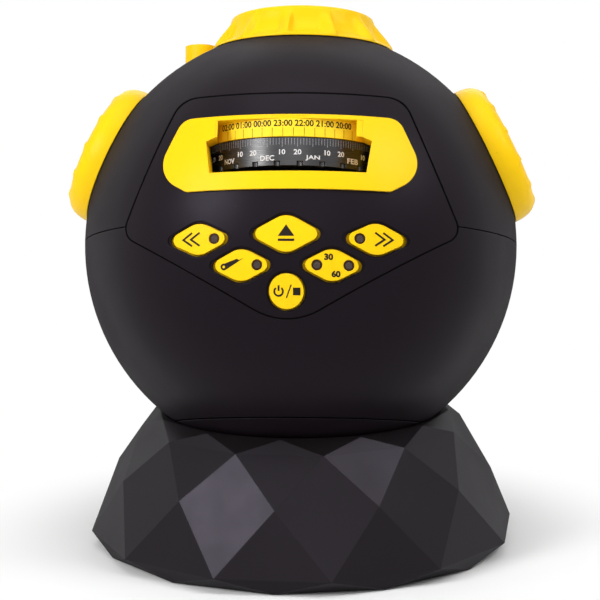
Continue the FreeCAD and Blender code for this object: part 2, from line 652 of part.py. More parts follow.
def keys():
    for name, shape in POINTED_KEYS.items():
        edge = key_prism(name + "_edge", shape, 0)
        flange_edge = key_prism(name + "_flange_edge", shape, S.key_gap + S.key_flange)
        lamps = KEY_LAMPS[name]
        finish(name, key_solid(name, edge, flange_edge, shape[0], shape[1], lamps))
        if lamps:
            finish(name + "_window", lamp_windows(name + "_windows", shape[1], lamps))
    far = S.ball_radius + S.overrun
    drop = S.power_key_drop
    edge = front_cylinder("power_edge", S.power_key_radius, 0, -drop, S.panel_depth, far)
    flange_radius = S.power_key_radius + S.key_gap + S.key_flange
    flange_edge = front_cylinder("power_flange_edge", flange_radius, 0, -drop, S.panel_depth, far)
    finish("power_key", key_solid("power_key", edge, flange_edge, ZERO, drop, []))


TRAIN_SPAN = S.gear_module * S.train_teeth
front_panel()
scale_bezel()
keys()


def gear(name, teeth, bore, height, x, y, phase):
    """An involute gear with six points to a tooth."""
    module = S.gear_module.value
    pitch = module * teeth / 2
    base_circle = pitch * math.cos(PRESSURE_ANGLE)
    radii = [max(pitch - ROOT_SHARE * module, base_circle), pitch, pitch + TIP_SHARE * module]
    at_pitch = math.pi / (2 * teeth) - S.tooth_play.value / (2 * pitch)

    def half_angle(radius):
        roll = math.acos(base_circle / radius)
        involute = math.tan(roll) - roll
        return at_pitch + math.tan(PRESSURE_ANGLE) - PRESSURE_ANGLE - involute

    flank = [(radius, half_angle(radius)) for radius in radii]
    flank[0] = (pitch - ROOT_SHARE * module, flank[0][1])
    points = []
    for tooth in range(teeth):
        middle = 2 * math.pi * tooth / teeth + math.radians(phase)
        sides = [(r, middle - a) for r, a in flank] + [(r, middle + a) for r, a in reversed(flank)]
        points += [FreeCAD.Vector(r * math.cos(a), r * math.sin(a), 0) for r, a in sides]
    face = Part.Face(Part.makePolygon(points + points[:1]))
    teeth_solid = face.extrude(FreeCAD.Vector(0, 0, S.gear_thickness.value))
    bored = teeth_solid.cut(Part.makeCylinder(float(bore), S.gear_thickness.value))
    thing = doc.addObject("Part::Feature", name)
    thing.Shape = bored
    return place(thing, x, y, height)


TRAY_TOP = S.tray_bottom + S.tray_thickness
GEAR_LEVEL = TRAY_TOP + S.running_gap
GEAR_TOP = GEAR_LEVEL + S.gear_thickness
TOOTH_PITCH = 360 / S.train_teeth.value
PINION_PLACE = S.gear_module * (S.train_teeth + S.pinion_teeth) / 2


def date_dial():
    """The drum with the months, its hub and the gear below it."""
    bore = S.dial_pin_radius + S.close_gap
    drum = turned("dial_drum", [
        (S.dial_hub_radius, S.dial_base), (S.dial_radius, S.dial_base), (S.dial_radius, S.dial_top),
        (S.dial_radius - S.dial_wall, S.dial_top), (S.dial_radius - S.dial_wall, S.dial_base + S.dial_wall),
        (S.dial_hub_radius, S.dial_base + S.dial_wall),
    ])
    hub = turned("dial_hub", [
        (bore, GEAR_LEVEL), (S.dial_hub_radius, GEAR_LEVEL), (S.dial_hub_radius, S.dial_top - S.dial_wall),
        (bore, S.dial_top - S.dial_wall),
    ])
    teeth = gear("dial_gear", int(S.train_teeth.value), S.dial_hub_radius, GEAR_LEVEL, 0, 0, 0)
    step = 360 / S.notch_count.value
    notches = []
    for i in range(int(S.notch_count.value)):
        angle = math.radians((i + HALF_SHARE) * step)
        x = S.dial_radius * math.cos(angle)
        y = S.dial_radius * math.sin(angle)
        notches.append(cylinder("notch_%d" % i, S.notch_radius, S.dial_wall * 2, x, y,
                                S.dial_base - S.dial_wall))
    solid = cut("dial_solid", fuse("dial_joined", drum, hub, teeth), *notches)
    solid.Placement.Base = FreeCAD.Vector(0, -TRAIN_SPAN.value, 0)
    solid.setExpression(".Placement.Base.y", (-TRAIN_SPAN).text)
    finish("date_dial", group("date_dial", solid))


def disc_carrier():
    """The ring gear that carries the star disc over the lamp."""
    journal = tube("carrier_journal", S.journal_radius, S.journal_radius - S.journal_wall,
                   GEAR_LEVEL - S.tray_bottom + S.gear_thickness / 2, 0, 0, S.tray_bottom)
    teeth = gear("carrier_gear", int(S.train_teeth.value), S.journal_radius - S.journal_wall, GEAR_LEVEL,
                 0, 0,
                 TOOTH_PITCH / 2)
    seat = cylinder("disc_seat", S.disc_radius + S.close_gap, S.gear_thickness, 0, 0,
                    GEAR_TOP - S.disc_thickness)
    finish("disc_carrier", cut("disc_carrier_cut", fuse("carrier_solid", journal, teeth), seat))
    finish("star_disc", group("star_disc", cylinder("disc_film", S.disc_radius, S.disc_thickness, 0, 0,
                                                    GEAR_TOP - S.disc_thickness)))


def drive_motor():
    body = cylinder("motor_can", S.motor_radius, S.motor_length, PINION_PLACE, 0,
                    S.tray_bottom - S.motor_length)
    shaft = cylinder("motor_shaft", S.motor_shaft_radius, GEAR_TOP - S.tray_bottom + S.motor_length / 2,
                     PINION_PLACE, 0, S.tray_bottom - S.motor_length / 2)
    finish("drive_motor", fuse("motor_solid", body, shaft))
    bore = S.motor_shaft_radius + S.close_gap
    pinion = gear("pinion_teeth_solid", int(S.pinion_teeth.value), bore, GEAR_LEVEL, PINION_PLACE, 0,
                  180 / S.pinion_teeth.value)
    finish("motor_pinion", group("motor_pinion", pinion))


def drawer_wall_outline():
    half = [(S.drawer_wall_half, S.tray_bottom), (S.drawer_wall_half, S.boss_radius),
            (S.power_key_radius * 2 + S.boss_radius, -S.power_key_drop - S.screw_radius),
            (S.power_key_radius, -S.drawer_wall_drop)]
    return mirrored_outline(half)


def disc_tray():
    """The drawer's plate with its runners, its front wall and the dial's pin."""
    plate = box("tray_plate", (-S.tray_half, -S.drawer_wall_y + S.drawer_wall, S.tray_bottom),
                (S.tray_half, S.tray_back, TRAY_TOP))
    runner_top = S.tray_bottom + S.runner_height
    wide = S.tray_half + S.runner_width
    runners = box("tray_runners", (-wide, -S.drawer_wall_y, S.tray_bottom), (wide, S.tray_back, runner_top))
    wall = slab("tray_wall", drawer_wall_outline(), S.drawer_wall_y - S.drawer_wall, S.drawer_wall_y,
                "XZ_Plane")
    ears = box("tray_head", (-S.tray_half, -S.drawer_wall_y, S.tray_bottom - S.drawer_wall),
               (S.tray_half, -S.drawer_wall_y + S.drawer_wall, TRAY_TOP))
    pin = cylinder("dial_pin", S.dial_pin_radius, S.dial_top - S.tray_bottom - S.dial_wall, 0, -TRAIN_SPAN,
                   S.tray_bottom)
    latch = box("tray_latch", (-S.boss_radius, S.tray_back - S.tray_thickness, TRAY_TOP),
                (S.boss_radius, S.tray_back, TRAY_TOP + S.tray_thickness))
    solid = fuse("tray_solid", plate, runners, wall, ears, pin, latch)
    holes = [
        cylinder("journal_hole", S.journal_radius + S.close_gap, S.ball_radius, 0, 0, 0),
        cylinder("shaft_hole", S.motor_shaft_radius + S.running_gap, S.ball_radius, PINION_PLACE, 0, 0),
    ]
    for i, (x, z) in enumerate(panel_screw_places()):
        hole = S.screw_radius + S.close_gap
        holes.append(front_cylinder("wall_screw_hole_%d" % i, hole, x, z,
                                    S.drawer_wall_y - S.drawer_wall * 2, S.ball_radius))
    finish("disc_tray", cut("disc_tray_cut", solid, *holes))


def key_places():
    places = [(x, drop) for x, drop, half, rise in POINTED_KEYS.values()]
    return places + [(ZERO, S.power_key_drop)]


def key_board():
    half = [(S.tray_half, S.boss_radius), (S.tray_half, -S.outer_key_drop - S.screw_radius),
            (S.power_key_radius - S.screw_radius, -S.drawer_wall_drop)]
    board = slab("board_plate", mirrored_outline(half), S.drawer_wall_y, BOARD_FRONT, "XZ_Plane")
    holes = []
    for i, (x, z) in enumerate(panel_screw_places()[2:]):
        holes.append(front_cylinder("board_hole_%d" % i, S.boss_radius, x, z, S.panel_depth, S.ball_radius))
    finish("key_board", cut("key_board_cut", board, *holes))
    switches = []
    half_width = S.switch_width / 2
    for i, (x, drop) in enumerate(key_places()):
        case = box("switch_case_%d" % i, (x - half_width, -SWITCH_FRONT + S.key_travel, -drop - half_width),
                   (x + half_width, -BOARD_FRONT, -drop + half_width))
        button = front_cylinder("switch_button_%d" % i, S.key_stem_radius, x, -drop, BOARD_FRONT,
                                SWITCH_FRONT)
        switches.append(fuse("switch_%d" % i, case, button))
    finish("key_switches", group("key_switches", *switches))
    lamps = []
    for name, xs in KEY_LAMPS.items():
        drop = POINTED_KEYS[name][1]
        for i, x in enumerate(xs):
            lamps.append(front_cylinder("%s_lamp_%d" % (name, i), S.screw_radius, x, -drop, BOARD_FRONT,
                                        BOARD_FRONT + S.key_lamp_height))
    finish("key_lamps", group("key_lamps", *lamps))


def screw(name, x, y, z, rotation, length):
    """A pan-head screw whose shank runs along local z from under its head."""
    head = cylinder(name + "_head", S.screw_head_radius, S.screw_head_height, x, y, z, rotation)
    turn = rotation.multVec(Z_AXIS)
    shank = cylinder(name + "_shank", S.screw_radius - S.close_gap, length, x, y, z, rotation)
    back = rotation.multVec(Z_AXIS) * -S.screw_head_height.value
    head.Placement.Base = head.Placement.Base + back
    for axis, part in zip("xyz", turn):
        size = as_size({"x": x, "y": y, "z": z}[axis])
        head.setExpression(".Placement.Base." + axis, (size - S.screw_head_height * round(part, 6)).text)
    return fuse(name, head, shank)


def panel_screws():
    screws = []
    for i, (x, z) in enumerate(panel_screw_places()):
        y = -S.drawer_wall_y + S.drawer_wall
        screws.append(screw("panel_screw_%d" % i, x, y, z, FreeCAD.Rotation(X_AXIS, 90), S.screw_length))
    finish("panel_screws", group("panel_screws", *screws))


date_dial()
disc_carrier()
drive_motor()
disc_tray()
key_board()
panel_screws()


def lens(name, radius, edge, bulge, height, placement=HEAD):
    """A plano-convex lens with its flat side down."""
    curve = (radius * radius + bulge * bulge) / (bulge * 2)
    rod = cylinder(name + "_rod", radius, edge + bulge, 0, 0, height)
    dome = sphere(name + "_dome", curve, 0, 0, height + edge + bulge - curve)
    finish(name, common(name + "_cut", rod, dome), placement)


def focus_assembly():
    bore = S.sleeve_radius - S.sleeve_wall
    flange_top = beside(INNER_RADIUS, S.sleeve_flange_radius) - S.close_gap
    sleeve = turned("focus_sleeve_body", [
        (bore, S.sleeve_bottom), (S.sleeve_radius, S.sleeve_bottom),
        (S.sleeve_radius, flange_top - S.sleeve_flange_wall),
        (S.sleeve_flange_radius, flange_top - S.sleeve_flange_wall),
        (S.sleeve_flange_radius, flange_top), (S.sleeve_radius, flange_top),
        (S.sleeve_radius, S.sleeve_top),
        (bore, S.sleeve_top),
    ])
    finish("focus_sleeve", sleeve)
    outer = bore - S.close_gap
    barrel_top = S.sleeve_top - S.focus_travel / 2
    barrel = turned("lens_barrel_body", [
        (S.barrel_bore - S.lip_wall, S.barrel_bottom), (outer, S.barrel_bottom), (outer, barrel_top),
        (S.barrel_bore, barrel_top), (S.barrel_bore, S.lens_height),
        (S.barrel_bore - S.lip_wall, S.lens_height),
    ])
    finish("lens_barrel", barrel)
    lens("projection_lens", S.lens_radius, S.lens_edge, S.lens_bulge, S.lens_height)


def ratchet_loft(name, low, high):
    """Slanted ramps round a cone. Low and high are (radius, rise of the ramp, level, turn in degrees)."""
    count = int(S.rib_count.value)
    wires = []
    for radius, rise, level, turn in (low, high):
        points = []
        for tooth in range(count):
            for share, lift in RATCHET_SHARES:
                angle = math.radians(turn + 360 * (tooth + share) / count)
                r = float(radius) + float(rise) * lift
                points.append(FreeCAD.Vector(r * math.cos(angle), r * math.sin(angle), float(level)))
        wires.append(Part.makePolygon(points + points[:1]))
    thing = doc.addObject("Part::Feature", name)
    thing.Shape = Part.makeLoft(wires, True, True)
    return thing


def focus_ring():
    """The ratchet-ribbed ring that is turned to focus."""
    foot = beside(S.ball_radius + S.running_gap, S.ring_foot_radius)
    cone = turned("ring_cone", [
        (0, foot - S.overrun), (S.ring_foot_radius, foot - S.overrun),
        (S.ring_foot_radius, foot + S.lip_wall),
        (S.ring_waist_radius, S.ring_waist_height), (S.ring_neck_radius, S.ring_neck_height),
        (S.ring_top_radius, S.ring_top_height), (0, S.ring_top_height),
    ])
    low = (S.ring_foot_radius - S.close_gap, S.rib_foot_rise, foot + S.lip_wall / 2, 0)
    high = (S.ring_neck_radius - S.close_gap, S.rib_neck_rise, S.ring_neck_height, RIB_TURN)
    ribs = ratchet_loft("ring_ribs", low, high)
    cavity = cylinder("ring_cavity", S.sleeve_radius + S.close_gap, S.ring_neck_height)
    mouth = cylinder("ring_mouth", S.ring_mouth_radius, S.ring_top_height + S.overrun)
    under = sphere("ring_under", S.ball_radius + S.running_gap)
    finish("focus_ring", cut("focus_ring_cut", fuse("ring_solid", cone, ribs), cavity, mouth, under))


def meteor_projector():
    bottom = S.meteor_tube_top - S.meteor_tube_length
    x = -S.meteor_tube_x
    y = S.meteor_tube_y
    bore = S.meteor_tube_radius - S.meteor_tube_wall
    finish("meteor_tube", tube("meteor_tube_cut", S.meteor_tube_radius, bore, S.meteor_tube_length, x, y,
                               bottom))
    level = S.meteor_tube_top - S.meteor_lens_height * 2
    finish("meteor_lens", group("meteor_lens",
                                cylinder("meteor_lens_disc", bore, S.meteor_lens_height, x, y, level)))
    lamp = cylinder("meteor_lamp_body", bore, S.meteor_tube_wall * 2, x, y, bottom)
    dome = sphere("meteor_lamp_dome", S.lamp_radius, x, y, bottom + S.lamp_radius)
    finish("meteor_lamp", fuse("meteor_lamp_solid", lamp, dome))


def hexagon(x, y, low):
    """A six-sided grille hole, as tall as the ball's radius."""
    corners = []
    for i in range(HEXAGON_SIDES + 1):
        angle = 2 * math.pi * i / HEXAGON_SIDES
        radius = S.grille_hole_radius.value
        corners.append(FreeCAD.Vector(x + radius * math.cos(angle), y + radius * math.sin(angle), low))
    return Part.Face(Part.makePolygon(corners)).extrude(Z_AXIS * S.ball_radius.value)


def side_bezel(side, rotation):
    """One round bezel with its grille and speaker, built upright and then leant outwards."""
    frame = HEAD.multiply(FreeCAD.Placement(FreeCAD.Vector(), rotation))
    foot = beside(S.ball_radius + S.running_gap, S.pod_foot_radius)
    inner = S.pod_collar_radius - S.pod_collar_wall
    rim = turned(side + "_bezel_body", [
        (inner, S.pod_collar_start), (S.pod_collar_radius, S.pod_collar_start),
        (S.pod_collar_radius, foot - S.overrun), (S.pod_foot_radius, foot - S.overrun),
        (S.pod_waist_radius, S.pod_waist), (S.pod_shoulder_radius, S.pod_shoulder),
        (S.pod_face_radius, S.pod_face), (S.pod_mouth_radius, S.pod_face),
        (S.pod_mouth_radius, S.grille_seat), (inner, S.grille_seat),
    ])
    low = (S.pod_waist_radius - S.close_gap, S.pod_rib_rise, S.pod_waist, 0)
    high = (S.pod_shoulder_radius - S.close_gap, S.pod_rib_rise, S.pod_shoulder, RIB_TURN / 2)
    ribs = cut(side + "_ribs_open", ratchet_loft(side + "_ribs", low, high),
               cylinder(side + "_ribs_bore", S.pod_face_radius, S.ball_radius * 2))
    under = common(side + "_under", sphere(side + "_ball", S.ball_radius + S.close_gap),
                   tube(side + "_band", S.ball_radius, S.pod_collar_radius, S.ball_radius * 2))
    finish("%s_bezel" % side, cut(side + "_bezel_cut", fuse(side + "_bezel_solid", rim, ribs), under),
           frame)
    plate_low = S.grille_seat - S.grille_thickness
    plate = cylinder(side + "_plate", inner - S.close_gap, S.grille_thickness, 0, 0, plate_low)
    holes = []
    step = S.grille_hole_radius * 4
    for ring in range(GRILLE_RINGS):
        for i in range(max(1, ring * 6)):
            angle = 2 * math.pi * i / max(1, ring * 6)
            x = step * (ring * math.cos(angle))
            y = step * (ring * math.sin(angle))
            holes.append(hexagon(float(x), float(y), S.pod_collar_start.value))
    bores = doc.addObject("Part::Feature", side + "_grille_holes")
    bores.Shape = Part.makeCompound(holes)
    finish("%s_grille" % side, cut(side + "_grille_cut", plate, bores), frame)
    front = plate_low
    back = front - S.speaker_depth
    driver = turned(side + "_driver", [
        (0, back - S.magnet_depth), (S.magnet_radius, back - S.magnet_depth), (S.magnet_radius, back),
        (S.magnet_radius, back + S.lip_wall), (S.speaker_radius, front - S.lip_wall),
        (S.speaker_radius, front),
        (S.cone_radius, front), (S.cone_throat, back + S.magnet_depth), (0, back + S.magnet_depth),
    ])
    finish("%s_speaker" % side, group(side + "_speaker", driver), frame)


focus_assembly()
focus_ring()
meteor_projector()
side_bezel("right", RIGHT)
side_bezel("left", LEFT)


CHASSIS_FLOOR = S.chassis_top + S.chassis_wall
RAIL_INNER = S.tray_half + S.runner_width + S.running_gap
RAIL_FRONT = S.drawer_travel - S.tray_back + S.rail_hold
POST_X = S.tray_half - S.post_radius * 2


def post_places(y):
    return [(POST_X, y), (-POST_X, y)]


def chassis():
    """The plate across the ball with the drawer's rails, the battery holder's posts and the board's tabs."""
    disc = cylinder("chassis_disc", S.chassis_radius, S.chassis_wall, 0, 0, -CHASSIS_FLOOR)
    area = box("chassis_area", (-S.chassis_radius, -RAIL_FRONT, -CHASSIS_FLOOR),
               (S.chassis_radius, S.chassis_radius, 0))
    plate = common("chassis_plate", disc, area)
    top = S.tray_bottom + S.runner_height + S.running_gap + S.rail_wall
    parts = [plate]
    for name, side in (("right", 1), ("left", -1)):
        inner = RAIL_INNER * side
        outer = (RAIL_INNER + S.rail_wall) * side
        low, high = sorted((inner, outer), key=float)
        parts.append(box(name + "_rail", (low, -RAIL_FRONT, -S.chassis_top), (high, S.rail_back, top)))
        edge = (S.tray_half + S.running_gap) * side
        low, high = sorted((edge, outer), key=float)
        parts.append(box(name + "_rail_roof", (low, -RAIL_FRONT, top - S.rail_wall),
                         (high, S.rail_back, top)))
        under = S.tray_bottom - S.close_gap * 2
        parts.append(box(name + "_rail_ledge", (low, -RAIL_FRONT, under - S.rail_wall),
                         (high, S.rail_back, under)))
    for i, (x, y) in enumerate(post_places(S.cell_length / 2) + post_places(-S.cell_length / 2)):
        parts.append(cylinder("post_%d" % i, S.post_radius, S.holder_top - CHASSIS_FLOOR, x, y,
                              -S.holder_top))
    stop_y = S.tray_back + S.running_gap
    parts.append(box("drawer_stop", (-S.boss_radius * 2, stop_y, -S.chassis_top),
                     (S.boss_radius * 2, stop_y + S.rail_wall, TRAY_TOP)))
    tab_x = S.main_board_half - S.boss_radius
    for i, x in enumerate((tab_x, -tab_x)):
        parts.append(box("board_tab_%d" % i,
                         (x - S.boss_radius, S.main_board_y - S.rail_wall,
                          -CHASSIS_FLOOR - S.boss_radius * 2),
                         (x + S.boss_radius, S.main_board_y, -CHASSIS_FLOOR)))
    notches = []
    for i, (x, y) in enumerate(ring_places(SHELL_BOSS_ANGLES, S.boss_ring)):
        notches.append(cylinder("chassis_notch_%d" % i, S.boss_radius + S.running_gap, S.ball_radius, x, y,
                                -S.cap_seam_drop))
    for i, (x, y) in enumerate(ring_places(LEDGE_ANGLES, S.ledge_ring - S.screw_head_radius)):
        notches.append(cylinder("chassis_hole_%d" % i, S.screw_radius + S.close_gap, S.ball_radius, x, y,
                                -S.cap_seam_drop))
    notches.append(cylinder("lamp_hole", S.lamp_board_radius, S.ball_radius, 0, 0, -S.cap_seam_drop))
    half = S.main_board_half + S.running_gap
    notches.append(box("board_notch", (-half, S.main_board_y - S.running_gap, -CHASSIS_FLOOR),
                       (half, S.ball_radius, 0)))
    finish("chassis", cut("chassis_cut", fuse("chassis_solid", *parts), *notches))


def drawer_latch():
    """The hook on the stop that holds the tray's tongue."""
    y = S.tray_back - S.tray_thickness - S.running_gap
    back = S.tray_back + S.running_gap + S.rail_wall
    top = TRAY_TOP + S.tray_thickness + S.running_gap
    arm = box("latch_arm", (-S.boss_radius, y - S.rail_wall, top), (S.boss_radius, back, top + S.rail_wall))
    nose_low = top - S.running_gap * 2
    nose = box("latch_nose", (-S.boss_radius, y - S.rail_wall, nose_low), (S.boss_radius, y, top))
    foot = box("latch_foot", (-S.boss_radius, back - S.rail_wall, TRAY_TOP), (S.boss_radius, back, top))
    finish("drawer_latch", fuse("drawer_latch_solid", arm, nose, foot))


def lamp():
    bottom = -S.chassis_top
    house = tube("lamp_house", S.lamp_house_radius, S.lamp_house_radius - S.lamp_house_wall,
                 S.chassis_top + S.lamp_house_top, 0, 0, bottom)
    seat = tube("condenser_seat", S.lamp_house_radius, S.condenser_radius - S.lip_wall,
                S.lamp_house_wall, 0, 0, S.condenser_height - S.lamp_house_wall)
    finish("lamp_housing", fuse("lamp_housing_solid", house, seat))
    lens("condenser_lens", S.condenser_radius, S.condenser_edge, S.condenser_bulge, S.condenser_height)
    board_low = -CHASSIS_FLOOR
    board = cylinder("lamp_board_disc", S.lamp_board_radius - S.close_gap, S.board_thickness, 0, 0,
                     board_low)
    finish("lamp_board", group("lamp_board", board))
    level = board_low + S.board_thickness
    chip = cylinder("lamp_chip", S.lamp_radius * 2, S.board_thickness, 0, 0, level)
    dome = sphere("lamp_dome", S.lamp_radius, 0, 0, level + S.lamp_radius)
    finish("white_lamp", fuse("white_lamp_solid", chip, dome))
    base_low = board_low - S.chassis_wall
    fins = [cylinder("sink_base", S.heat_sink_radius, S.chassis_wall, 0, 0, base_low)]
    count = int(S.fin_count.value)
    for i in range(count):
        y = S.heat_sink_radius * 2 * (i - (count - 1) / 2) / count
        half = beside(S.heat_sink_radius, y)
        fins.append(box("fin_%d" % i, (-half + S.fin_wall, y - S.fin_wall / 2,
                                       base_low - S.heat_sink_depth),
                        (half - S.fin_wall, y + S.fin_wall / 2, base_low)))
    finish("heat_sink", fuse("heat_sink_solid", *fins))


def battery_bay():
    count = int(S.cell_count.value)
    pitch = S.cell_radius * 2 + S.holder_wall
    half_x = pitch * count / 2 + S.holder_wall / 2
    half_y = S.cell_length / 2 + S.holder_wall + S.contact_wall + S.cell_nub
    ear = POST_X + S.post_radius
    block = box("holder_block", (-half_x, -half_y, -S.holder_bottom), (half_x, half_y, -S.holder_top))
    flange = box("holder_flange", (-ear, -half_y, -S.holder_top - S.holder_wall),
                 (ear, half_y, -S.holder_top))
    axis = -S.holder_top - S.holder_wall - S.cell_radius
    room = half_y - S.holder_wall
    holes = []
    cells = []
    contacts = []
    for i in range(count):
        x = pitch * (i - (count - 1) / 2)
        turn = 1 if i % 2 else -1
        radius = S.cell_radius + S.running_gap
        holes.append(cylinder("cell_room_%d" % i, radius, room * 2, x, -room, axis, ALONG_Y))
        holes.append(box("cell_mouth_%d" % i, (x - radius, -room, -S.ball_radius),
                         (x + radius, room, axis)))
        body = cylinder("cell_can_%d" % i, S.cell_radius, S.cell_length, x, -S.cell_length / 2, axis,
                        ALONG_Y)
        nub_y = S.cell_length / 2 if turn > 0 else -S.cell_length / 2 - S.cell_nub
        nub = cylinder("cell_nub_%d" % i, S.cell_nub_radius, S.cell_nub, x, nub_y, axis, ALONG_Y)
        cells.append(fuse("cell_%d" % i, body, nub))
        for end, y in (("front", -room), ("back", room - S.contact_wall)):
            contacts.append(box("contact_%d_%s" % (i, end), (x - S.contact_half, y, axis - S.contact_half),
                                (x + S.contact_half, y + S.contact_wall, axis + S.contact_half)))
    finish("battery_holder", cut("battery_holder_cut", fuse("holder_solid", block, flange), *holes))
    finish("battery_cells", group("battery_cells", *cells))
    finish("battery_contacts", group("battery_contacts", *contacts))


def battery_cover():
    """The cap at the ball's foot, with the lip that locates it and its finger recess."""
    low = half_space("cover_zone", -S.ball_radius - S.overrun, -S.cap_seam_drop - S.seam_gap)
    cap = common("cover_cap", ball_shell("cover_ball", S.ball_radius, INNER_RADIUS), low)
    lip_outer = INNER_RADIUS - S.close_gap
    lip = common("cover_lip", ball_shell("cover_lip_ball", lip_outer + S.close_gap * 2,
                                         lip_outer - S.lip_wall),
                 half_space("cover_lip_zone", -S.cap_seam_drop - S.shell_lip,
                            -S.cap_seam_drop - S.seam_gap))
    tongue = common("cover_tongue", ball_shell("cover_tongue_ball", lip_outer, lip_outer - S.lip_wall),
                    half_space("cover_tongue_zone", -S.cap_seam_drop - S.shell_lip,
                               -S.cap_seam_drop + S.shell_lip))
    slot = box("coin_slot", (-S.boss_radius * 2, -S.lip_wall, -S.ball_radius),
               (S.boss_radius * 2, S.lip_wall, -S.ball_radius + S.lip_wall))
    finish("battery_cover", cut("battery_cover_cut", fuse("cover_solid", cap, lip, tongue), slot))


def main_board():
    back = S.main_board_y + S.board_thickness
    plate = box("main_board_plate", (-S.main_board_half, S.main_board_y, -S.main_board_drop),
                (S.main_board_half, back, -S.shell_lip - S.running_gap * 2))
    finish("main_board", group("main_board", plate))
    inlets = (
        ("dc_inlet", -S.dc_inlet_x, S.dc_box, S.dc_snout_radius, S.dc_bore_radius, S.dc_bore_depth),
        ("audio_inlet", S.audio_inlet_x, S.audio_box, S.audio_snout_radius, S.audio_bore_radius,
         S.audio_bore_depth),
    )
    for name, x, width, snout_radius, bore_radius, depth in inlets:
        half = width / 2
        level = -S.inlet_drop
        off_side = -x if x.value < 0 else x
        mouth = beside(S.ball_radius, off_side + snout_radius, S.inlet_drop + snout_radius)
        shoulder = beside(INNER_RADIUS, S.dc_inlet_x + S.dc_box / 2,
                          S.inlet_drop + S.dc_box / 2) - S.running_gap
        case = box(name + "_case", (x - half, back, level - half), (x + half, shoulder, level + half))
        snout = cylinder(name + "_snout", snout_radius, mouth - back, x, back, level, ALONG_Y)
        bore = cylinder(name + "_bore", bore_radius, depth, x, mouth - depth, level, ALONG_Y)
        solid = cut(name + "_cut", fuse(name + "_solid", case, snout), bore)
        if name == "dc_inlet":
            pin = cylinder("dc_pin", S.screw_radius - S.close_gap * 8, depth, x,
                           mouth - depth - S.lip_wall, level, ALONG_Y)
            solid = fuse("dc_inlet_with_pin", solid, pin)
        finish(name, solid)


def volume_control():
    level = -S.inlet_drop
    half = S.wheel_thickness / 2
    bore = S.wheel_pin_radius + S.close_gap
    wheel = tube("wheel_solid", S.wheel_radius, bore, S.wheel_thickness, S.wheel_x, S.wheel_y, level - half)
    ridges = []
    for x, y in ring_places([360 * i / S.knurl_count.value for i in range(int(S.knurl_count.value))],
                            S.wheel_radius):
        ridges.append(cylinder("knurl_%d" % len(ridges), S.knurl_radius, S.wheel_thickness * 2,
                               S.wheel_x + x,
                               S.wheel_y + y, level - S.wheel_thickness))
    finish("volume_wheel", cut("volume_wheel_cut", wheel, *ridges))
    top = level - half - S.running_gap
    case = box("pot_case", (S.wheel_x - S.pot_height, S.main_board_y + S.board_thickness,
                            top - S.pot_height),
               (S.wheel_x + S.pot_height, S.wheel_y + S.wheel_pin_radius * 2, top))
    trim = sphere("pot_trim", INNER_RADIUS - S.running_gap)
    pin = cylinder("pot_pin", S.wheel_pin_radius, S.wheel_thickness + S.running_gap, S.wheel_x, S.wheel_y,
                   top)
    finish("volume_pot", common("volume_pot_cut", fuse("volume_pot_solid", case, pin), trim))


def shell_screws():
    screws = []
    for i, (x, y) in enumerate(ring_places(SHELL_BOSS_ANGLES, S.boss_ring)):
        screws.append(screw("shell_screw_%d" % i, x, y, -S.boss_depth, ALONG_Z,
                            S.boss_depth + S.screw_length / 2))
    finish("shell_screws", group("shell_screws", *screws))


chassis()
drawer_latch()
lamp()
battery_bay()
battery_cover()
main_board()
volume_control()
shell_screws()


def foot_ring(radius, height, half_step):
    """One ring of the foot's corners. Every other ring is turned by half a step."""
    count = int(S.foot_sides.value)
    corners = []
    for i in range(count):
        angle = math.radians(-90 - S.foot_turn.value + 360 * (i + (HALF_SHARE if half_step else 0)) / count)
        corners.append(FreeCAD.Vector(radius * math.cos(angle), radius * math.sin(angle), height))
    return corners


def middle_radius(upper, upper_z, lower, lower_z, middle_z):
    """Where the middle ring's corners lie, so that each diamond of the foot is flat."""
    share = (upper_z - middle_z) / (upper_z - lower_z)
    return (upper + (lower - upper) * share) / math.cos(math.pi / S.foot_sides.value)


def faceted_solid(name, rim, upper, middle_z, lower, bottom):
    """The foot's faceted body from five rings of corners: diamonds between two bands of triangles."""
    middle = (middle_radius(*upper, *lower, middle_z), middle_z)
    t = foot_ring(*rim, False)
    u = foot_ring(*upper, True)
    m = foot_ring(*middle, False)
    l = foot_ring(*lower, True)
    b = foot_ring(*bottom, False)
    count = len(t)
    loops = [t, b]
    for i in range(count):
        j = (i + 1) % count
        loops += [
            [t[i], u[i], t[j]], [u[i], t[j], u[j]], [u[i], m[i], l[i], m[j]], [u[i], u[j], m[j]],
            [l[i], l[j], m[j]], [b[i], l[i], b[j]], [l[i], b[j], l[j]],
        ]
    faces = [Part.Face(Part.makePolygon(loop + loop[:1])) for loop in loops]
    solid = Part.Solid(Part.Shell(faces))
    if solid.Volume < 0:
        solid.reverse()
    thing = doc.addObject("Part::Feature", name)
    thing.Shape = solid
    return thing


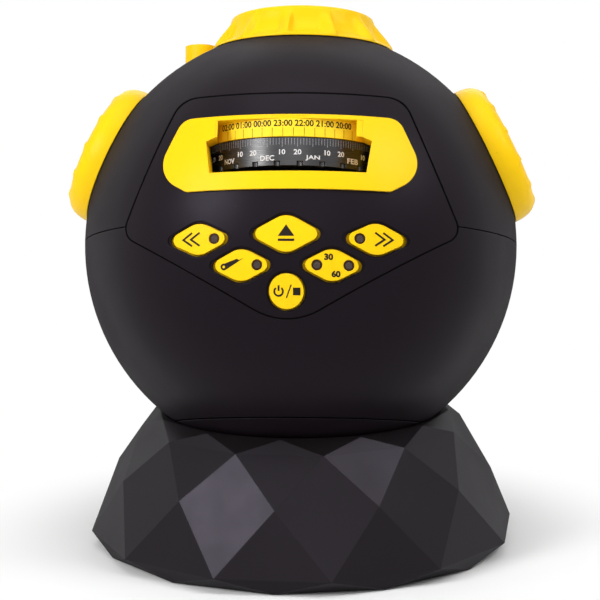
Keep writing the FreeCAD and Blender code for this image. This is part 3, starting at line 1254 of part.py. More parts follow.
def foot():
    lift = S.foot_lift.value
    wall = S.foot_wall.value
    rings = [(S.rim_radius.value, S.rim_height.value), (S.upper_radius.value, S.upper_height.value),
             (S.lower_radius.value, S.lower_height.value), (S.bottom_radius.value, lift)]
    outside = faceted_solid("foot_outside", rings[0], rings[1], S.middle_height.value, rings[2], rings[3])
    inner = [(radius - wall / math.cos(math.pi / S.foot_sides.value), height) for radius, height in rings]
    inner[0] = (inner[0][0], inner[0][1] - wall)
    inner[1] = (inner[1][0], inner[1][1] - wall / 2)
    inner[3] = (inner[3][0], 0.0)
    inside = faceted_solid("foot_inside", inner[0], inner[1], S.middle_height.value, inner[2], inner[3])
    centre = S.ball_height
    bowl_inner = S.ball_radius + S.running_gap * 2 + S.seat_ring_wall
    bowl_outer = bowl_inner + S.bowl_wall
    bowl = common("bowl_skin", sphere("bowl_outside", bowl_outer, 0, 0, centre),
                  inside_copy(inside, "bowl_limit"))
    hollow = cut("foot_hollow", inside, sphere("bowl_keep", bowl_outer, 0, 0, centre))
    shell = cut("foot_walls", outside, hollow)
    bosses = []
    for i, (x, y) in enumerate(ring_places(BASE_SCREW_ANGLES, S.base_boss_ring)):
        bosses.append(cylinder("base_boss_%d" % i, S.base_boss_radius, S.upper_height - PLATE_TOP, x, y,
                               PLATE_TOP))
    boss_set = common("base_bosses", group("base_boss_set", *bosses), inside_copy(inside, "boss_limit"))
    solid = fuse("foot_solid", shell, bowl, boss_set)
    dish = sphere("bowl_dish", S.ball_radius + S.rim_gap, 0, 0, centre)
    groove_ball = sphere("groove_ball", bowl_inner, 0, 0, centre)
    groove_zone = box("groove_zone", (-S.lower_radius, -S.lower_radius, S.seat_ring_bottom - S.running_gap),
                      (S.lower_radius, S.lower_radius, S.seat_ring_top + S.running_gap))
    groove = common("seat_groove", groove_ball, groove_zone)
    holes = [dish, groove]
    for i, (x, y) in enumerate(ring_places(BASE_SCREW_ANGLES, S.base_boss_ring)):
        holes.append(cylinder("base_pilot_%d" % i, S.screw_radius - S.close_gap, S.screw_length, x, y,
                              PLATE_TOP - S.overrun))
    finish("base_shell", cut("base_shell_cut", solid, *holes), WORLD)


def inside_copy(thing, name):
    copy = doc.addObject("Part::Feature", name)
    copy.Shape = thing.Shape.copy()
    return copy


BASE_SCREW_ANGLES = (45, 135, 225, 315)
PAD_ANGLES = (0, 90, 180, 270)
PLATE_LOW = S.foot_lift + S.plate_recess
PLATE_TOP = PLATE_LOW + S.plate_thickness


def base_plate():
    radius = S.bottom_radius - (S.foot_wall + S.plate_inset)
    points = [(v.x, v.y) for v in foot_ring(1.0, 0.0, False)]
    plate = slab("plate_body", [(radius * a, radius * b) for a, b in points], PLATE_LOW, PLATE_TOP)
    holes = []
    for i, (x, y) in enumerate(ring_places(BASE_SCREW_ANGLES, S.base_boss_ring)):
        holes.append(cylinder("plate_hole_%d" % i, S.screw_radius + S.close_gap, S.overrun * 3, x, y, 0))
        sink = S.screw_head_radius + S.running_gap
        holes.append(cylinder("plate_sink_%d" % i, sink, PLATE_LOW + S.plate_thickness / 2, x, y, 0))
    finish("base_plate", cut("base_plate_cut", plate, *holes), WORLD)
    pads = []
    for i, (x, y) in enumerate(ring_places(PAD_ANGLES, S.pad_ring)):
        pads.append(cylinder("pad_%d" % i, S.pad_radius, PLATE_LOW, x, y, 0))
    finish("rubber_feet", group("rubber_feet", *pads), WORLD)
    screws = []
    for i, (x, y) in enumerate(ring_places(BASE_SCREW_ANGLES, S.base_boss_ring)):
        screws.append(screw("base_screw_%d" % i, x, y, PLATE_LOW + S.plate_thickness / 2, ALONG_Z,
                            S.screw_length - S.overrun))
    finish("base_screws", group("base_screws", *screws), WORLD)


def seat_ring():
    """The smooth liner that the ball turns on."""
    centre = S.ball_height
    inner = S.ball_radius + S.running_gap
    skin = cut("ring_skin", sphere("ring_outside", inner + S.seat_ring_wall, 0, 0, centre),
               sphere("ring_inside", inner, 0, 0, centre))
    zone = box("ring_zone", (-S.lower_radius, -S.lower_radius, S.seat_ring_bottom),
               (S.lower_radius, S.lower_radius, S.seat_ring_top))
    finish("seat_ring", common("seat_ring_cut", skin, zone), WORLD)


doc.recompute()
foot()
base_plate()
seat_ring()
doc.recompute()

for thing in doc.Objects:
    if "Invalid" in thing.State or "Error" in thing.State:
        raise RuntimeError("%s did not build: %s" % (thing.Name, thing.State))
os.makedirs("parts", exist_ok=True)
for thing in finished:
    if thing.Shape.isNull() or not thing.Shape.isValid() or not thing.Shape.Solids:
        raise RuntimeError("%s has no sound shape" % thing.Label)
    thing.Shape.exportStep("parts/%s.step" % thing.Label)
print(len(finished), "pieces")
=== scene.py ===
"""Looks of a tabletop planetarium projector: a tilting black ball head on a faceted foot."""

import math

import bmesh
import bpy
from mathutils import Matrix, Vector


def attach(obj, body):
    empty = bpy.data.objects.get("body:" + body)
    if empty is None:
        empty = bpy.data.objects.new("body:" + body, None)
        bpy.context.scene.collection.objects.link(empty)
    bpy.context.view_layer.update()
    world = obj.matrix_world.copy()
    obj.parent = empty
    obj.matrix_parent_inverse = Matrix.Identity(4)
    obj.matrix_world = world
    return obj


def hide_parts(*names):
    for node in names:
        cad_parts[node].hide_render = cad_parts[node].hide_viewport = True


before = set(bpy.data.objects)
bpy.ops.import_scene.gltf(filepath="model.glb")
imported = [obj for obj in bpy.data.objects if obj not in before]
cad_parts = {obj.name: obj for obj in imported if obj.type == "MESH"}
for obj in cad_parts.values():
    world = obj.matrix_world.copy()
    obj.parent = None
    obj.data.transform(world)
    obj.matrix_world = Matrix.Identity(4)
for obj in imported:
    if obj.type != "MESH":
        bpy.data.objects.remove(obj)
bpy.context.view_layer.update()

# Places in the head are in millimetres from the ball's centre, before its tilt
MM = 0.001
TILT = math.radians(15)
BALL_CENTRE = (0, 0, 0.115)
HEAD = Matrix.Translation(BALL_CENTRE) @ Matrix.Rotation(-TILT, 4, "X") @ Matrix.Scale(MM, 4)
BALL_RADIUS = 82.5
KEY_RADIUS = 83.1
DIAL_AXIS_Y = -44.0
DIAL_RADIUS = 31.0
HOURS_RADIUS = 31.3


# Camera, floor and light

CAMERA_TARGET = Vector((-0.0005, 0, 0.0942))
CAMERA_DISTANCE = 0.833
AZIMUTH, ELEVATION, ROLL = math.radians(3.6), math.radians(9.45), math.radians(-0.5)
FOCAL_LENGTH, SENSOR_WIDTH = 129.6, 36

FLOOR_HALF = 30.0
FLOOR_WHITE = (0.93, 0.93, 0.93, 1)
# How far from the middle the floor's shadows start to fade into white, and where they are gone
FADE_START, FADE_END = 0.075, 0.15

SURROUND_LIGHT = 0.3
LAMP_AIM = (0, 0, 0.1)
# Name, place, width, height and watts
LAMPS = (
    ("left_box", (-0.72, -0.66, 0.62), 0.34, 0.36, 7.0),
    ("right_box", (0.72, -0.30, 0.82), 0.34, 0.36, 4.0),
    ("top_box", (0.0, -0.2, 1.1), 0.8, 0.8, 3.4),
    ("front_fill", (0.1, -1.3, 0.75), 0.9, 0.6, 2.5),
    ("back_fill", (0.0, 1.2, 0.7), 0.9, 0.6, 2.0),
)


def set_camera():
    away = Vector((math.sin(AZIMUTH) * math.cos(ELEVATION), -math.cos(AZIMUTH) * math.cos(ELEVATION),
                   math.sin(ELEVATION)))
    data = bpy.data.cameras.new("camera")
    data.lens = FOCAL_LENGTH
    data.sensor_width = SENSOR_WIDTH
    camera = bpy.data.objects.new("camera", data)
    bpy.context.scene.collection.objects.link(camera)
    turn = away.to_track_quat("Z", "Y").to_matrix().to_4x4() @ Matrix.Rotation(ROLL, 4, "Z")
    camera.matrix_world = Matrix.Translation(CAMERA_TARGET + away * CAMERA_DISTANCE) @ turn
    bpy.context.scene.camera = camera


def seen_rays(tree):
    """1 for rays from the camera, from a mirror or through glass, 0 for the light on the object."""
    path = tree.nodes.new("ShaderNodeLightPath")
    total = path.outputs["Is Camera Ray"]
    for kind in ("Is Glossy Ray", "Is Transmission Ray"):
        node = tree.nodes.new("ShaderNodeMath")
        node.operation = "MAXIMUM"
        tree.links.new(total, node.inputs[0])
        tree.links.new(path.outputs[kind], node.inputs[1])
        total = node.outputs[0]
    return total


def plain_floor():
    """A pale floor that keeps the object's shadow and fades to the white of the surround."""
    corners = [(x * FLOOR_HALF, y * FLOOR_HALF, 0) for x, y in ((-1, -1), (1, -1), (1, 1), (-1, 1))]
    mesh = bpy.data.meshes.new("floor")
    mesh.from_pydata(corners, [], [(0, 1, 2, 3)])
    floor = bpy.data.objects.new("floor", mesh)
    bpy.context.scene.collection.objects.link(floor)
    material = bpy.data.materials.new("floor_white")
    material.use_nodes = True
    tree = material.node_tree
    shader = tree.nodes["Principled BSDF"]
    shader.inputs["Base Color"].default_value = FLOOR_WHITE
    shader.inputs["Roughness"].default_value = 0.8
    shader.inputs["Specular IOR Level"].default_value = 0.2
    white = tree.nodes.new("ShaderNodeEmission")
    reach = tree.nodes.new("ShaderNodeVectorMath")
    reach.operation = "LENGTH"
    tree.links.new(tree.nodes.new("ShaderNodeTexCoord").outputs["Object"], reach.inputs[0])
    fade = tree.nodes.new("ShaderNodeMapRange")
    fade.interpolation_type = "SMOOTHSTEP"
    fade.inputs["From Min"].default_value = FADE_START
    fade.inputs["From Max"].default_value = FADE_END
    tree.links.new(reach.outputs["Value"], fade.inputs["Value"])
    share = tree.nodes.new("ShaderNodeMath")
    share.operation = "MULTIPLY"
    tree.links.new(fade.outputs["Result"], share.inputs[0])
    tree.links.new(seen_rays(tree), share.inputs[1])
    mixer = tree.nodes.new("ShaderNodeMixShader")
    tree.links.new(share.outputs[0], mixer.inputs["Fac"])
    tree.links.new(shader.outputs[0], mixer.inputs[1])
    tree.links.new(white.outputs[0], mixer.inputs[2])
    tree.links.new(mixer.outputs[0], tree.nodes["Material Output"].inputs["Surface"])
    mesh.materials.append(material)


def white_world(level):
    """An even pale surround, pure white where it is seen, mirrored or looked at through glass."""
    world = bpy.data.worlds.new("surround")
    bpy.context.scene.world = world
    world.use_nodes = True
    tree = world.node_tree
    seen = tree.nodes["Background"]
    seen.inputs["Strength"].default_value = 1.0
    seen.inputs["Color"].default_value = (1, 1, 1, 1)
    lit = tree.nodes.new("ShaderNodeBackground")
    lit.inputs["Strength"].default_value = level
    lit.inputs["Color"].default_value = (1, 1, 1, 1)
    mixer = tree.nodes.new("ShaderNodeMixShader")
    tree.links.new(seen_rays(tree), mixer.inputs["Fac"])
    tree.links.new(lit.outputs[0], mixer.inputs[1])
    tree.links.new(seen.outputs[0], mixer.inputs[2])
    tree.links.new(mixer.outputs[0], tree.nodes["World Output"].inputs["Surface"])


def soft_lamp(name, place, width, height, power):
    data = bpy.data.lights.new(name, "AREA")
    data.shape = "RECTANGLE"
    data.size, data.size_y, data.energy = width, height, power
    lamp = bpy.data.objects.new(name, data)
    bpy.context.scene.collection.objects.link(lamp)
    away = Vector(place) - Vector(LAMP_AIM)
    lamp.matrix_world = Matrix.Translation(place) @ away.to_track_quat("Z", "Y").to_matrix().to_4x4()


def studio():
    plain_floor()
    white_world(SURROUND_LIGHT)
    for lamp in LAMPS:
        soft_lamp(*lamp)


# Materials

# Turn of a rounded normal from its face, as 1 minus its cosine, where an edge starts to show and is full
EDGE_FAINT, EDGE_FULL = 0.02, 0.25
BEVEL_SAMPLES = 4
NOISE_SPAN = (0.3, 0.7)


class Paint:
    """A node material: a shader whose colour, roughness and bump come from procedural textures."""

    def __init__(self, name, metallic=0.0, specular=0.5, ior=1.5, transmission=0.0, tint=(1, 1, 1)):
        self.material = bpy.data.materials.new(name)
        self.material.use_nodes = True
        self.tree = self.material.node_tree
        self.shader = self.tree.nodes["Principled BSDF"]
        self.shader.inputs["Metallic"].default_value = metallic
        self.shader.inputs["Specular IOR Level"].default_value = specular
        self.shader.inputs["IOR"].default_value = ior
        self.shader.inputs["Transmission Weight"].default_value = transmission
        self.shader.inputs["Specular Tint"].default_value = (*tint, 1)
        self.places = self.tree.nodes.new("ShaderNodeTexCoord").outputs["Object"]

    def link(self, source, target):
        if isinstance(source, (int, float)):
            target.default_value = source
        elif isinstance(source, tuple):
            target.default_value = (*source, 1.0)
        else:
            self.tree.links.new(source, target)

    def stretched(self, x, y, z):
        node = self.tree.nodes.new("ShaderNodeMapping")
        node.inputs["Scale"].default_value = (x, y, z)
        self.tree.links.new(self.places, node.inputs["Vector"])
        return node.outputs["Vector"]

    def noise(self, grain, detail=2.0, rough=0.5, places=None):
        """Noise whose features are about grain millimetres across."""
        node = self.tree.nodes.new("ShaderNodeTexNoise")
        node.inputs["Scale"].default_value = 1 / (grain * MM)
        node.inputs["Detail"].default_value = detail
        node.inputs["Roughness"].default_value = rough
        self.tree.links.new(places or self.places, node.inputs["Vector"])
        return node.outputs["Fac"]

    def cells(self, grain):
        """Distance to the nearest of scattered points about grain millimetres apart."""
        node = self.tree.nodes.new("ShaderNodeTexVoronoi")
        node.inputs["Scale"].default_value = 1 / (grain * MM)
        self.tree.links.new(self.places, node.inputs["Vector"])
        return node.outputs["Distance"]

    def spread(self, value, low, high, start=0.0, end=1.0):
        """Maps value from low..high to start..end, clamped."""
        node = self.tree.nodes.new("ShaderNodeMapRange")
        for socket, number in zip(("From Min", "From Max", "To Min", "To Max"), (low, high, start, end)):
            node.inputs[socket].default_value = number
        self.link(value, node.inputs["Value"])
        return node.outputs["Result"]

    def vary(self, noise, start, end):
        """Maps a noise, most of which lies in NOISE_SPAN, to start..end."""
        return self.spread(noise, *NOISE_SPAN, start, end)

    def sum(self, kind, first, second):
        node = self.tree.nodes.new("ShaderNodeMath")
        node.operation = kind
        self.link(first, node.inputs[0])
        self.link(second, node.inputs[1])
        return node.outputs[0]

    def blend(self, share, first, second):
        node = self.tree.nodes.new("ShaderNodeMix")
        node.data_type = "RGBA"
        sockets = {socket.identifier: socket for socket in node.inputs}
        self.link(share, sockets["Factor_Float"])
        self.link(first, sockets["A_Color"])
        self.link(second, sockets["B_Color"])
        return next(socket for socket in node.outputs if socket.identifier == "Result_Color")

    def edges(self, radius):
        """1 along sharp edges within radius millimetres, 0 on faces."""
        flat = self.tree.nodes.new("ShaderNodeNewGeometry")
        dot = self.tree.nodes.new("ShaderNodeVectorMath")
        dot.operation = "DOT_PRODUCT"
        self.tree.links.new(self.soft_corner(radius), dot.inputs[0])
        self.tree.links.new(flat.outputs["Normal"], dot.inputs[1])
        return self.spread(dot.outputs["Value"], 1 - EDGE_FAINT, 1 - EDGE_FULL)

    def glancing(self, low, high, end):
        """0 where a face is seen straight on, rising to end where it is seen edge on."""
        weight = self.tree.nodes.new("ShaderNodeLayerWeight")
        weight.inputs["Blend"].default_value = 0.5
        return self.spread(weight.outputs["Facing"], low, high, 0, end)

    def soft_corner(self, radius):
        """A shading normal that rounds sharp edges off by radius millimetres."""
        bevel = self.tree.nodes.new("ShaderNodeBevel")
        bevel.samples = BEVEL_SAMPLES
        bevel.inputs["Radius"].default_value = radius * MM
        return bevel.outputs["Normal"]

    def bump(self, height, depth, under=None):
        """Relief from height, depth micrometres deep."""
        node = self.tree.nodes.new("ShaderNodeBump")
        node.inputs["Distance"].default_value = depth * MM * MM
        self.link(height, node.inputs["Height"])
        if under:
            self.tree.links.new(under, node.inputs["Normal"])
        return node.outputs["Normal"]

    def done(self, colour, roughness, normal=None):
        self.link(colour, self.shader.inputs["Base Color"])
        self.link(roughness, self.shader.inputs["Roughness"])
        if normal:
            self.tree.links.new(normal, self.shader.inputs["Normal"])
        return self.material


BLACK_SHEEN = (0.88, 0.80, 1.0)
WORN_BLACK = (0.11, 0.10, 0.10)
DUST = (0.4, 0.38, 0.36)


def moulded_black(name, specular, dark, light, matte, glossy, grain, relief):
    """Dark moulded plastic: fine grain, slow clouding, paler rubbed edges and a few dust specks."""
    paint = Paint(name, specular=specular, tint=BLACK_SHEEN)
    cloud = paint.noise(45, 3)
    fine = paint.noise(grain, 2, 0.6)
    colour = paint.blend(cloud, dark, light)
    patches = paint.spread(paint.noise(6), 0.5, 0.75, 0, 0.25)
    colour = paint.blend(paint.sum("MULTIPLY", paint.edges(0.35), patches), colour, WORN_BLACK)
    specks = paint.spread(paint.cells(4.0), 0.05, 0.03, 0, 0.05)
    colour = paint.blend(specks, colour, DUST)
    handled = paint.spread(paint.noise(28, 4), 0.35, 0.65, matte, glossy)
    roughness = paint.sum("ADD", handled, paint.vary(fine, -0.04, 0.04))
    roughness = paint.sum("ADD", roughness, paint.glancing(0.5, 0.9, 0.35))
    return paint.done(colour, roughness, paint.bump(fine, relief, paint.soft_corner(0.5)))


def bright_yellow():
    """Golden yellow moulded plastic with an orange-peel surface, faint flow clouds and rubbed edges."""
    paint = Paint("yellow_plastic", specular=0.12)
    colour = paint.blend(paint.noise(32, 3), (0.91, 0.545, 0.002), (0.955, 0.605, 0.003))
    rubbed = paint.sum("MULTIPLY", paint.edges(0.4), paint.spread(paint.noise(5), 0.45, 0.7, 0, 0.55))
    colour = paint.blend(rubbed, colour, (1.0, 0.80, 0.12))
    grime = paint.spread(paint.cells(7.0), 0.05, 0.03, 0, 0.35)
    colour = paint.blend(grime, colour, (0.45, 0.30, 0.02))
    roughness = paint.vary(paint.noise(22, 4), 0.36, 0.46)
    peel = paint.sum("ADD", paint.noise(0.7, 2), paint.sum("MULTIPLY", paint.noise(0.22), 0.4))
    return paint.done(colour, roughness, paint.bump(peel, 9, paint.soft_corner(0.5)))


def glossy_dial():
    """Smooth black plastic of the date dial, with hairline scratches round it."""
    paint = Paint("dial_black", specular=0.55)
    scratches = paint.noise(0.5, 3, places=paint.stretched(0.05, 0.05, 1.6))
    colour = paint.blend(paint.noise(18, 3), (0.008, 0.008, 0.010), (0.016, 0.015, 0.019))
    colour = paint.blend(paint.spread(paint.edges(0.2), 0, 1, 0, 0.4), colour, (0.07, 0.07, 0.08))
    roughness = paint.spread(scratches, 0.3, 0.75, 0.24, 0.34)
    return paint.done(colour, roughness, paint.bump(scratches, 2, paint.soft_corner(0.15)))


def smoky_window():
    """Smoked clear plastic over the key lamps."""
    paint = Paint("smoky_window", specular=0.5, ior=1.49, transmission=0.75)
    colour = paint.blend(paint.noise(1.2), (0.13, 0.075, 0.05), (0.20, 0.125, 0.09))
    roughness = paint.vary(paint.noise(0.9), 0.08, 0.16)
    return paint.done(colour, roughness, paint.bump(paint.noise(0.8), 4))


def clear_lens():
    """Polished clear lens plastic with a trace of dust."""
    paint = Paint("clear_lens", specular=0.5, ior=1.49, transmission=1.0)
    dust = paint.spread(paint.cells(1.6), 0.09, 0.04)
    colour = paint.blend(dust, (0.93, 0.96, 0.98), (0.75, 0.75, 0.74))
    return paint.done(colour, paint.spread(dust, 0, 1, 0.02, 0.35))


def star_film():
    """Dark film of a projection disc: random stars of several sizes and a faint pale band."""
    paint = Paint("star_film", specular=0.5)
    sky = paint.blend(paint.spread(paint.noise(9, 5), 0.5, 0.72), (0.003, 0.004, 0.012), (0.03, 0.035, 0.07))
    for gap, size, light in ((1.1, 0.10, 0.45), (2.6, 0.07, 0.8), (6.5, 0.045, 1.0)):
        stars = paint.spread(paint.cells(gap), size, size * 0.6, 0, light)
        sky = paint.blend(stars, sky, (0.85, 0.88, 0.95))
    return paint.done(sky, paint.vary(paint.noise(14), 0.12, 0.22))


def inner_plastic():
    """Unpainted grey-black plastic of the inner parts, with flow marks."""
    paint = Paint("inner_plastic", specular=0.4)
    flow = paint.noise(9, 4, places=paint.stretched(1, 1, 0.35))
    colour = paint.blend(flow, (0.030, 0.030, 0.032), (0.055, 0.054, 0.056))
    colour = paint.blend(paint.spread(paint.edges(0.3), 0, 1, 0, 0.3), colour, (0.12, 0.12, 0.12))
    roughness = paint.vary(flow, 0.5, 0.62)
    return paint.done(colour, roughness, paint.bump(paint.noise(0.5, 2), 12))


def rubber():
    """Dull soft rubber with a fine pitted skin."""
    paint = Paint("rubber", specular=0.25)
    pits = paint.noise(0.35, 3, 0.7)
    colour = paint.blend(paint.noise(6, 3), (0.012, 0.012, 0.012), (0.028, 0.027, 0.026))
    return paint.done(colour, paint.vary(pits, 0.78, 0.92), paint.bump(pits, 25))


def bare_metal(name, colour_a, colour_b, smooth, rough, stretch):
    """Drawn or turned metal: fine grain along one direction, with spots of dull oxide."""
    paint = Paint(name, metallic=1.0)
    grain = paint.noise(0.25, 3, places=paint.stretched(*stretch))
    spots = paint.spread(paint.noise(2.2, 4), 0.62, 0.72, 0, 0.5)
    oxide = tuple(0.45 * part for part in colour_a)
    colour = paint.blend(spots, paint.blend(grain, colour_a, colour_b), oxide)
    roughness = paint.vary(grain, smooth, rough)
    return paint.done(colour, roughness, paint.bump(grain, 3, paint.soft_corner(0.1)))


def circuit_board():
    """Green lacquer over copper tracks, with tinned spots."""
    paint = Paint("circuit_board", specular=0.5)
    tracks = paint.spread(paint.noise(2.4, 0, places=paint.stretched(1, 0.3, 1)), 0.5, 0.52)
    colour = paint.blend(tracks, (0.008, 0.075, 0.030), (0.020, 0.135, 0.045))
    colour = paint.blend(paint.spread(paint.cells(3.0), 0.13, 0.11), colour, (0.72, 0.70, 0.62))
    roughness = paint.vary(paint.noise(4), 0.28, 0.4)
    return paint.done(colour, roughness, paint.bump(tracks, 20))


def cell_wrap():
    """Glossy dark shrink sleeve of plain battery cells."""
    paint = Paint("cell_wrap", specular=0.5)
    colour = paint.blend(paint.noise(10, 3), (0.020, 0.020, 0.022), (0.035, 0.033, 0.034))
    roughness = paint.vary(paint.noise(3), 0.2, 0.34)
    return paint.done(colour, roughness, paint.bump(paint.noise(2.5), 10))


def pale_ceramic():
    """White lamp package with a warm phosphor tint."""
    paint = Paint("lamp_white", specular=0.5)
    colour = paint.blend(paint.noise(1.5, 3), (0.82, 0.76, 0.42), (0.88, 0.86, 0.72))
    roughness = paint.vary(paint.noise(0.8), 0.3, 0.5)
    return paint.done(colour, roughness, paint.bump(paint.noise(0.4), 6))


def paper_cone():
    """Pressed paper of a loudspeaker cone."""
    paint = Paint("speaker_cone", specular=0.2)
    fibres = paint.noise(0.4, 4, 0.7)
    colour = paint.blend(fibres, (0.012, 0.012, 0.013), (0.045, 0.043, 0.042))
    return paint.done(colour, paint.vary(fibres, 0.8, 0.95), paint.bump(fibres, 40))


def band_painted_light():
    """Paler yellow than the bezel: painted light that makes up for the shade in the hours recess."""
    paint = Paint("band_painted_light", specular=0.12)
    colour = paint.blend(paint.noise(14, 3), (0.975, 0.66, 0.02), (0.99, 0.71, 0.035))
    roughness = paint.vary(paint.noise(9, 3), 0.4, 0.5)
    return paint.done(colour, roughness, paint.bump(paint.noise(0.5, 2), 5))


def shadow_black():
    """Near-black painted shade for the rounded-over edges in a seam, much darker than the shell itself."""
    paint = Paint("shadow_black", specular=0.02)
    cloud = paint.noise(8, 2)
    colour = paint.blend(cloud, (0.0012, 0.0010, 0.0010), (0.0024, 0.0020, 0.0020))
    roughness = paint.vary(cloud, 0.85, 0.95)
    return paint.done(colour, roughness, paint.bump(paint.noise(0.5), 5))


def ink(name, dark, light, roughness):
    """Pad-printed lettering, a little uneven. Also gives the painted shade inside the lamp windows."""
    paint = Paint(name, specular=0.12)
    patchy = paint.noise(0.35, 2)
    colour = paint.blend(paint.spread(patchy, 0.35, 0.75), light, dark)
    uneven = paint.vary(patchy, roughness, roughness + 0.1)
    return paint.done(colour, uneven, paint.bump(patchy, 4))


def palette():
    return {
        "black_shell": moulded_black("black_shell", dark=(0.0056, 0.0036, 0.0048),
                                     light=(0.0084, 0.0058, 0.0076), specular=0.10, matte=0.41, glossy=0.35,
                                     grain=0.30, relief=10),
        "foot_black": moulded_black("foot_black", dark=(0.0062, 0.0048, 0.0054),
                                    light=(0.0090, 0.0074, 0.0082), specular=0.16, matte=0.39, glossy=0.32,
                                    grain=0.24, relief=11),
        "yellow_plastic": bright_yellow(),
        "dial_black": glossy_dial(),
        "smoky_window": smoky_window(),
        "inner_plastic": inner_plastic(),
        "clear_lens": clear_lens(),
        "star_film": star_film(),
        "rubber": rubber(),
        "steel": bare_metal("steel", (0.52, 0.51, 0.50), (0.66, 0.65, 0.63), smooth=0.28, rough=0.42,
                            stretch=(1, 1, 0.2)),
        "aluminium": bare_metal("aluminium", (0.72, 0.73, 0.74), (0.84, 0.85, 0.86), smooth=0.32, rough=0.46,
                                stretch=(0.15, 1, 1)),
        "circuit_board": circuit_board(),
        "cell_wrap": cell_wrap(),
        "lamp_white": pale_ceramic(),
        "speaker_cone": paper_cone(),
        "white_ink": ink("white_ink", (0.55, 0.55, 0.58), (0.80, 0.80, 0.83), 0.45),
        "black_ink": ink("black_ink", (0.022, 0.016, 0.010), (0.009, 0.007, 0.006), 0.42),
        "grey_ink": ink("grey_ink", (0.20, 0.20, 0.23), (0.38, 0.38, 0.42), 0.45),
        # Painted shade: the near-black edge round the front panel's seam.
        "shadow_black": shadow_black(),
        # Painted light: a paler yellow laid over the shaded hours band.
        "band_painted_light": band_painted_light(),
        # Painted shade in the recessed edges of the lamp windows.
        "rim_ink": ink("rim_ink", (0.050, 0.018, 0.006), (0.022, 0.008, 0.004), 0.4),
        "brown_ink": ink("brown_ink", (0.16, 0.09, 0.01), (0.055, 0.030, 0.006), 0.42),
    }


def dress_frame(paints):
    """Gives every solid that stays visible the material that its slot names."""
    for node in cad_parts.values():
        for index, old in enumerate(node.data.materials):
            node.data.materials[index] = paints[old.name.split(".")[0]]


# Lettering and signs

WINDOW_RADIUS = KEY_RADIUS - 0.3
# How far print stands out of its face and reaches under it
PRINT_ABOVE, PRINT_BELOW = 0.05, 0.16
# Width of the strips that print is cut into, and the least cosine that a stroke's corner is drawn out for
CUT_STEP = 1.2
MITRE_LIMIT = 0.3
HALF_THICK = 0.5
LETTER_STEPS = 3
MERGE_DISTANCE = 1e-5


def solid_letters(words, height, width, bold=0.02):
    """Letters as a flat solid about the origin, scaled to a height and a width in millimetres."""
    curve = bpy.data.curves.new("letters", "FONT")
    curve.body = words
    curve.extrude = HALF_THICK
    curve.offset = bold
    curve.resolution_u = LETTER_STEPS
    flat = taken_mesh(curve)
    xs = [v.co.x for v in flat.verts]
    ys = [v.co.y for v in flat.verts]
    for v in flat.verts:
        v.co.x = (v.co.x - (min(xs) + max(xs)) / 2) * width / (max(xs) - min(xs))
        v.co.y = (v.co.y - (min(ys) + max(ys)) / 2) * height / (max(ys) - min(ys))
    return flat


def solid_shape(loops):
    """Filled outlines as a flat solid. A loop inside another leaves a hole."""
    curve = bpy.data.curves.new("shape", "CURVE")
    curve.dimensions = "2D"
    curve.fill_mode = "BOTH"
    curve.extrude = HALF_THICK
    for loop in loops:
        spline = curve.splines.new("POLY")
        spline.points.add(len(loop) - 1)
        for point, (x, y) in zip(spline.points, loop):
            point.co = (x, y, 0, 1)
        spline.use_cyclic_u = True
    return taken_mesh(curve)


def taken_mesh(curve):
    """The closed mesh that a curve makes, as a bmesh."""
    thing = bpy.data.objects.new("from_curve", curve)
    bpy.context.scene.collection.objects.link(thing)
    made = bpy.data.meshes.new_from_object(thing)
    bm = bmesh.new()
    bm.from_mesh(made)
    bmesh.ops.remove_doubles(bm, verts=bm.verts, dist=MERGE_DISTANCE)
    bpy.data.objects.remove(thing)
    bpy.data.curves.remove(curve)
    bpy.data.meshes.remove(made)
    return bm


def ring(x, y, radius, count=20):
    turns = [2 * math.pi * i / count for i in range(count)]
    return [(x + radius * math.cos(a), y + radius * math.sin(a)) for a in turns]


def stroke(points, width):
    """A line of even width along points, with square corners."""
    half = width / 2
    left, right = [], []
    for i, point in enumerate(points):
        here = Vector(point)
        before = (here - Vector(points[i - 1])).normalized() if i else None
        after = (Vector(points[i + 1]) - here).normalized() if i + 1 < len(points) else None
        along = ((before or after) + (after or before)).normalized()
        side = Vector((-along.y, along.x))
        reach = half / max(side.dot(Vector((-(before or after).y, (before or after).x))), MITRE_LIMIT)
        left.append(tuple(here + side * reach))
        right.append(tuple(here - side * reach))
    return left + right[::-1]


def moved(bm, x, y):
    bmesh.ops.translate(bm, verts=bm.verts, vec=(x, y, 0))
    return bm


def cut_up(bm):
    """Cuts wide faces into strips, so that they can follow a curved face."""
    xs = [v.co.x for v in bm.verts]
    ys = [v.co.y for v in bm.verts]
    across, up = Vector((1, 0, 0)), Vector((0, 1, 0))
    for axis, low, high in ((across, min(xs), max(xs)), (up, min(ys), max(ys))):
        for i in range(1, int((high - low) / CUT_STEP) + 1):
            bmesh.ops.bisect_plane(bm, geom=bm.verts[:] + bm.edges[:] + bm.faces[:],
                                   plane_co=axis * (low + i * CUT_STEP), plane_no=axis)


def on_ball(radius):
    def fitted(x, z, lift):
        reach = radius + lift
        return Vector((x, -math.sqrt(reach * reach - x * x - z * z), z))
    return fitted


def on_drum(radius):
    """x is the way round the drum from its front, in millimetres at its radius."""
    def fitted(x, z, lift):
        angle, reach = x / radius, radius + lift
        return Vector((reach * math.sin(angle), DIAL_AXIS_Y - reach * math.cos(angle), z))
    return fitted


def printed(name, shapes, surface, body, paint):
    """One piece made of flat solids that are laid on a curved face of the head."""
    whole = bmesh.new()
    for bm in shapes:
        cut_up(bm)
        for v in bm.verts:
            lift = PRINT_ABOVE if v.co.z > 0 else -PRINT_BELOW
            v.co = HEAD @ surface(v.co.x, v.co.y, lift)
        part = bpy.data.meshes.new("part")
        bm.to_mesh(part)
        bm.free()
        whole.from_mesh(part)
        bpy.data.meshes.remove(part)
    bmesh.ops.triangulate(whole, faces=[f for f in whole.faces if len(f.verts) > 4])
    bmesh.ops.recalc_face_normals(whole, faces=whole.faces)
    return piece(name, whole, body, paint)


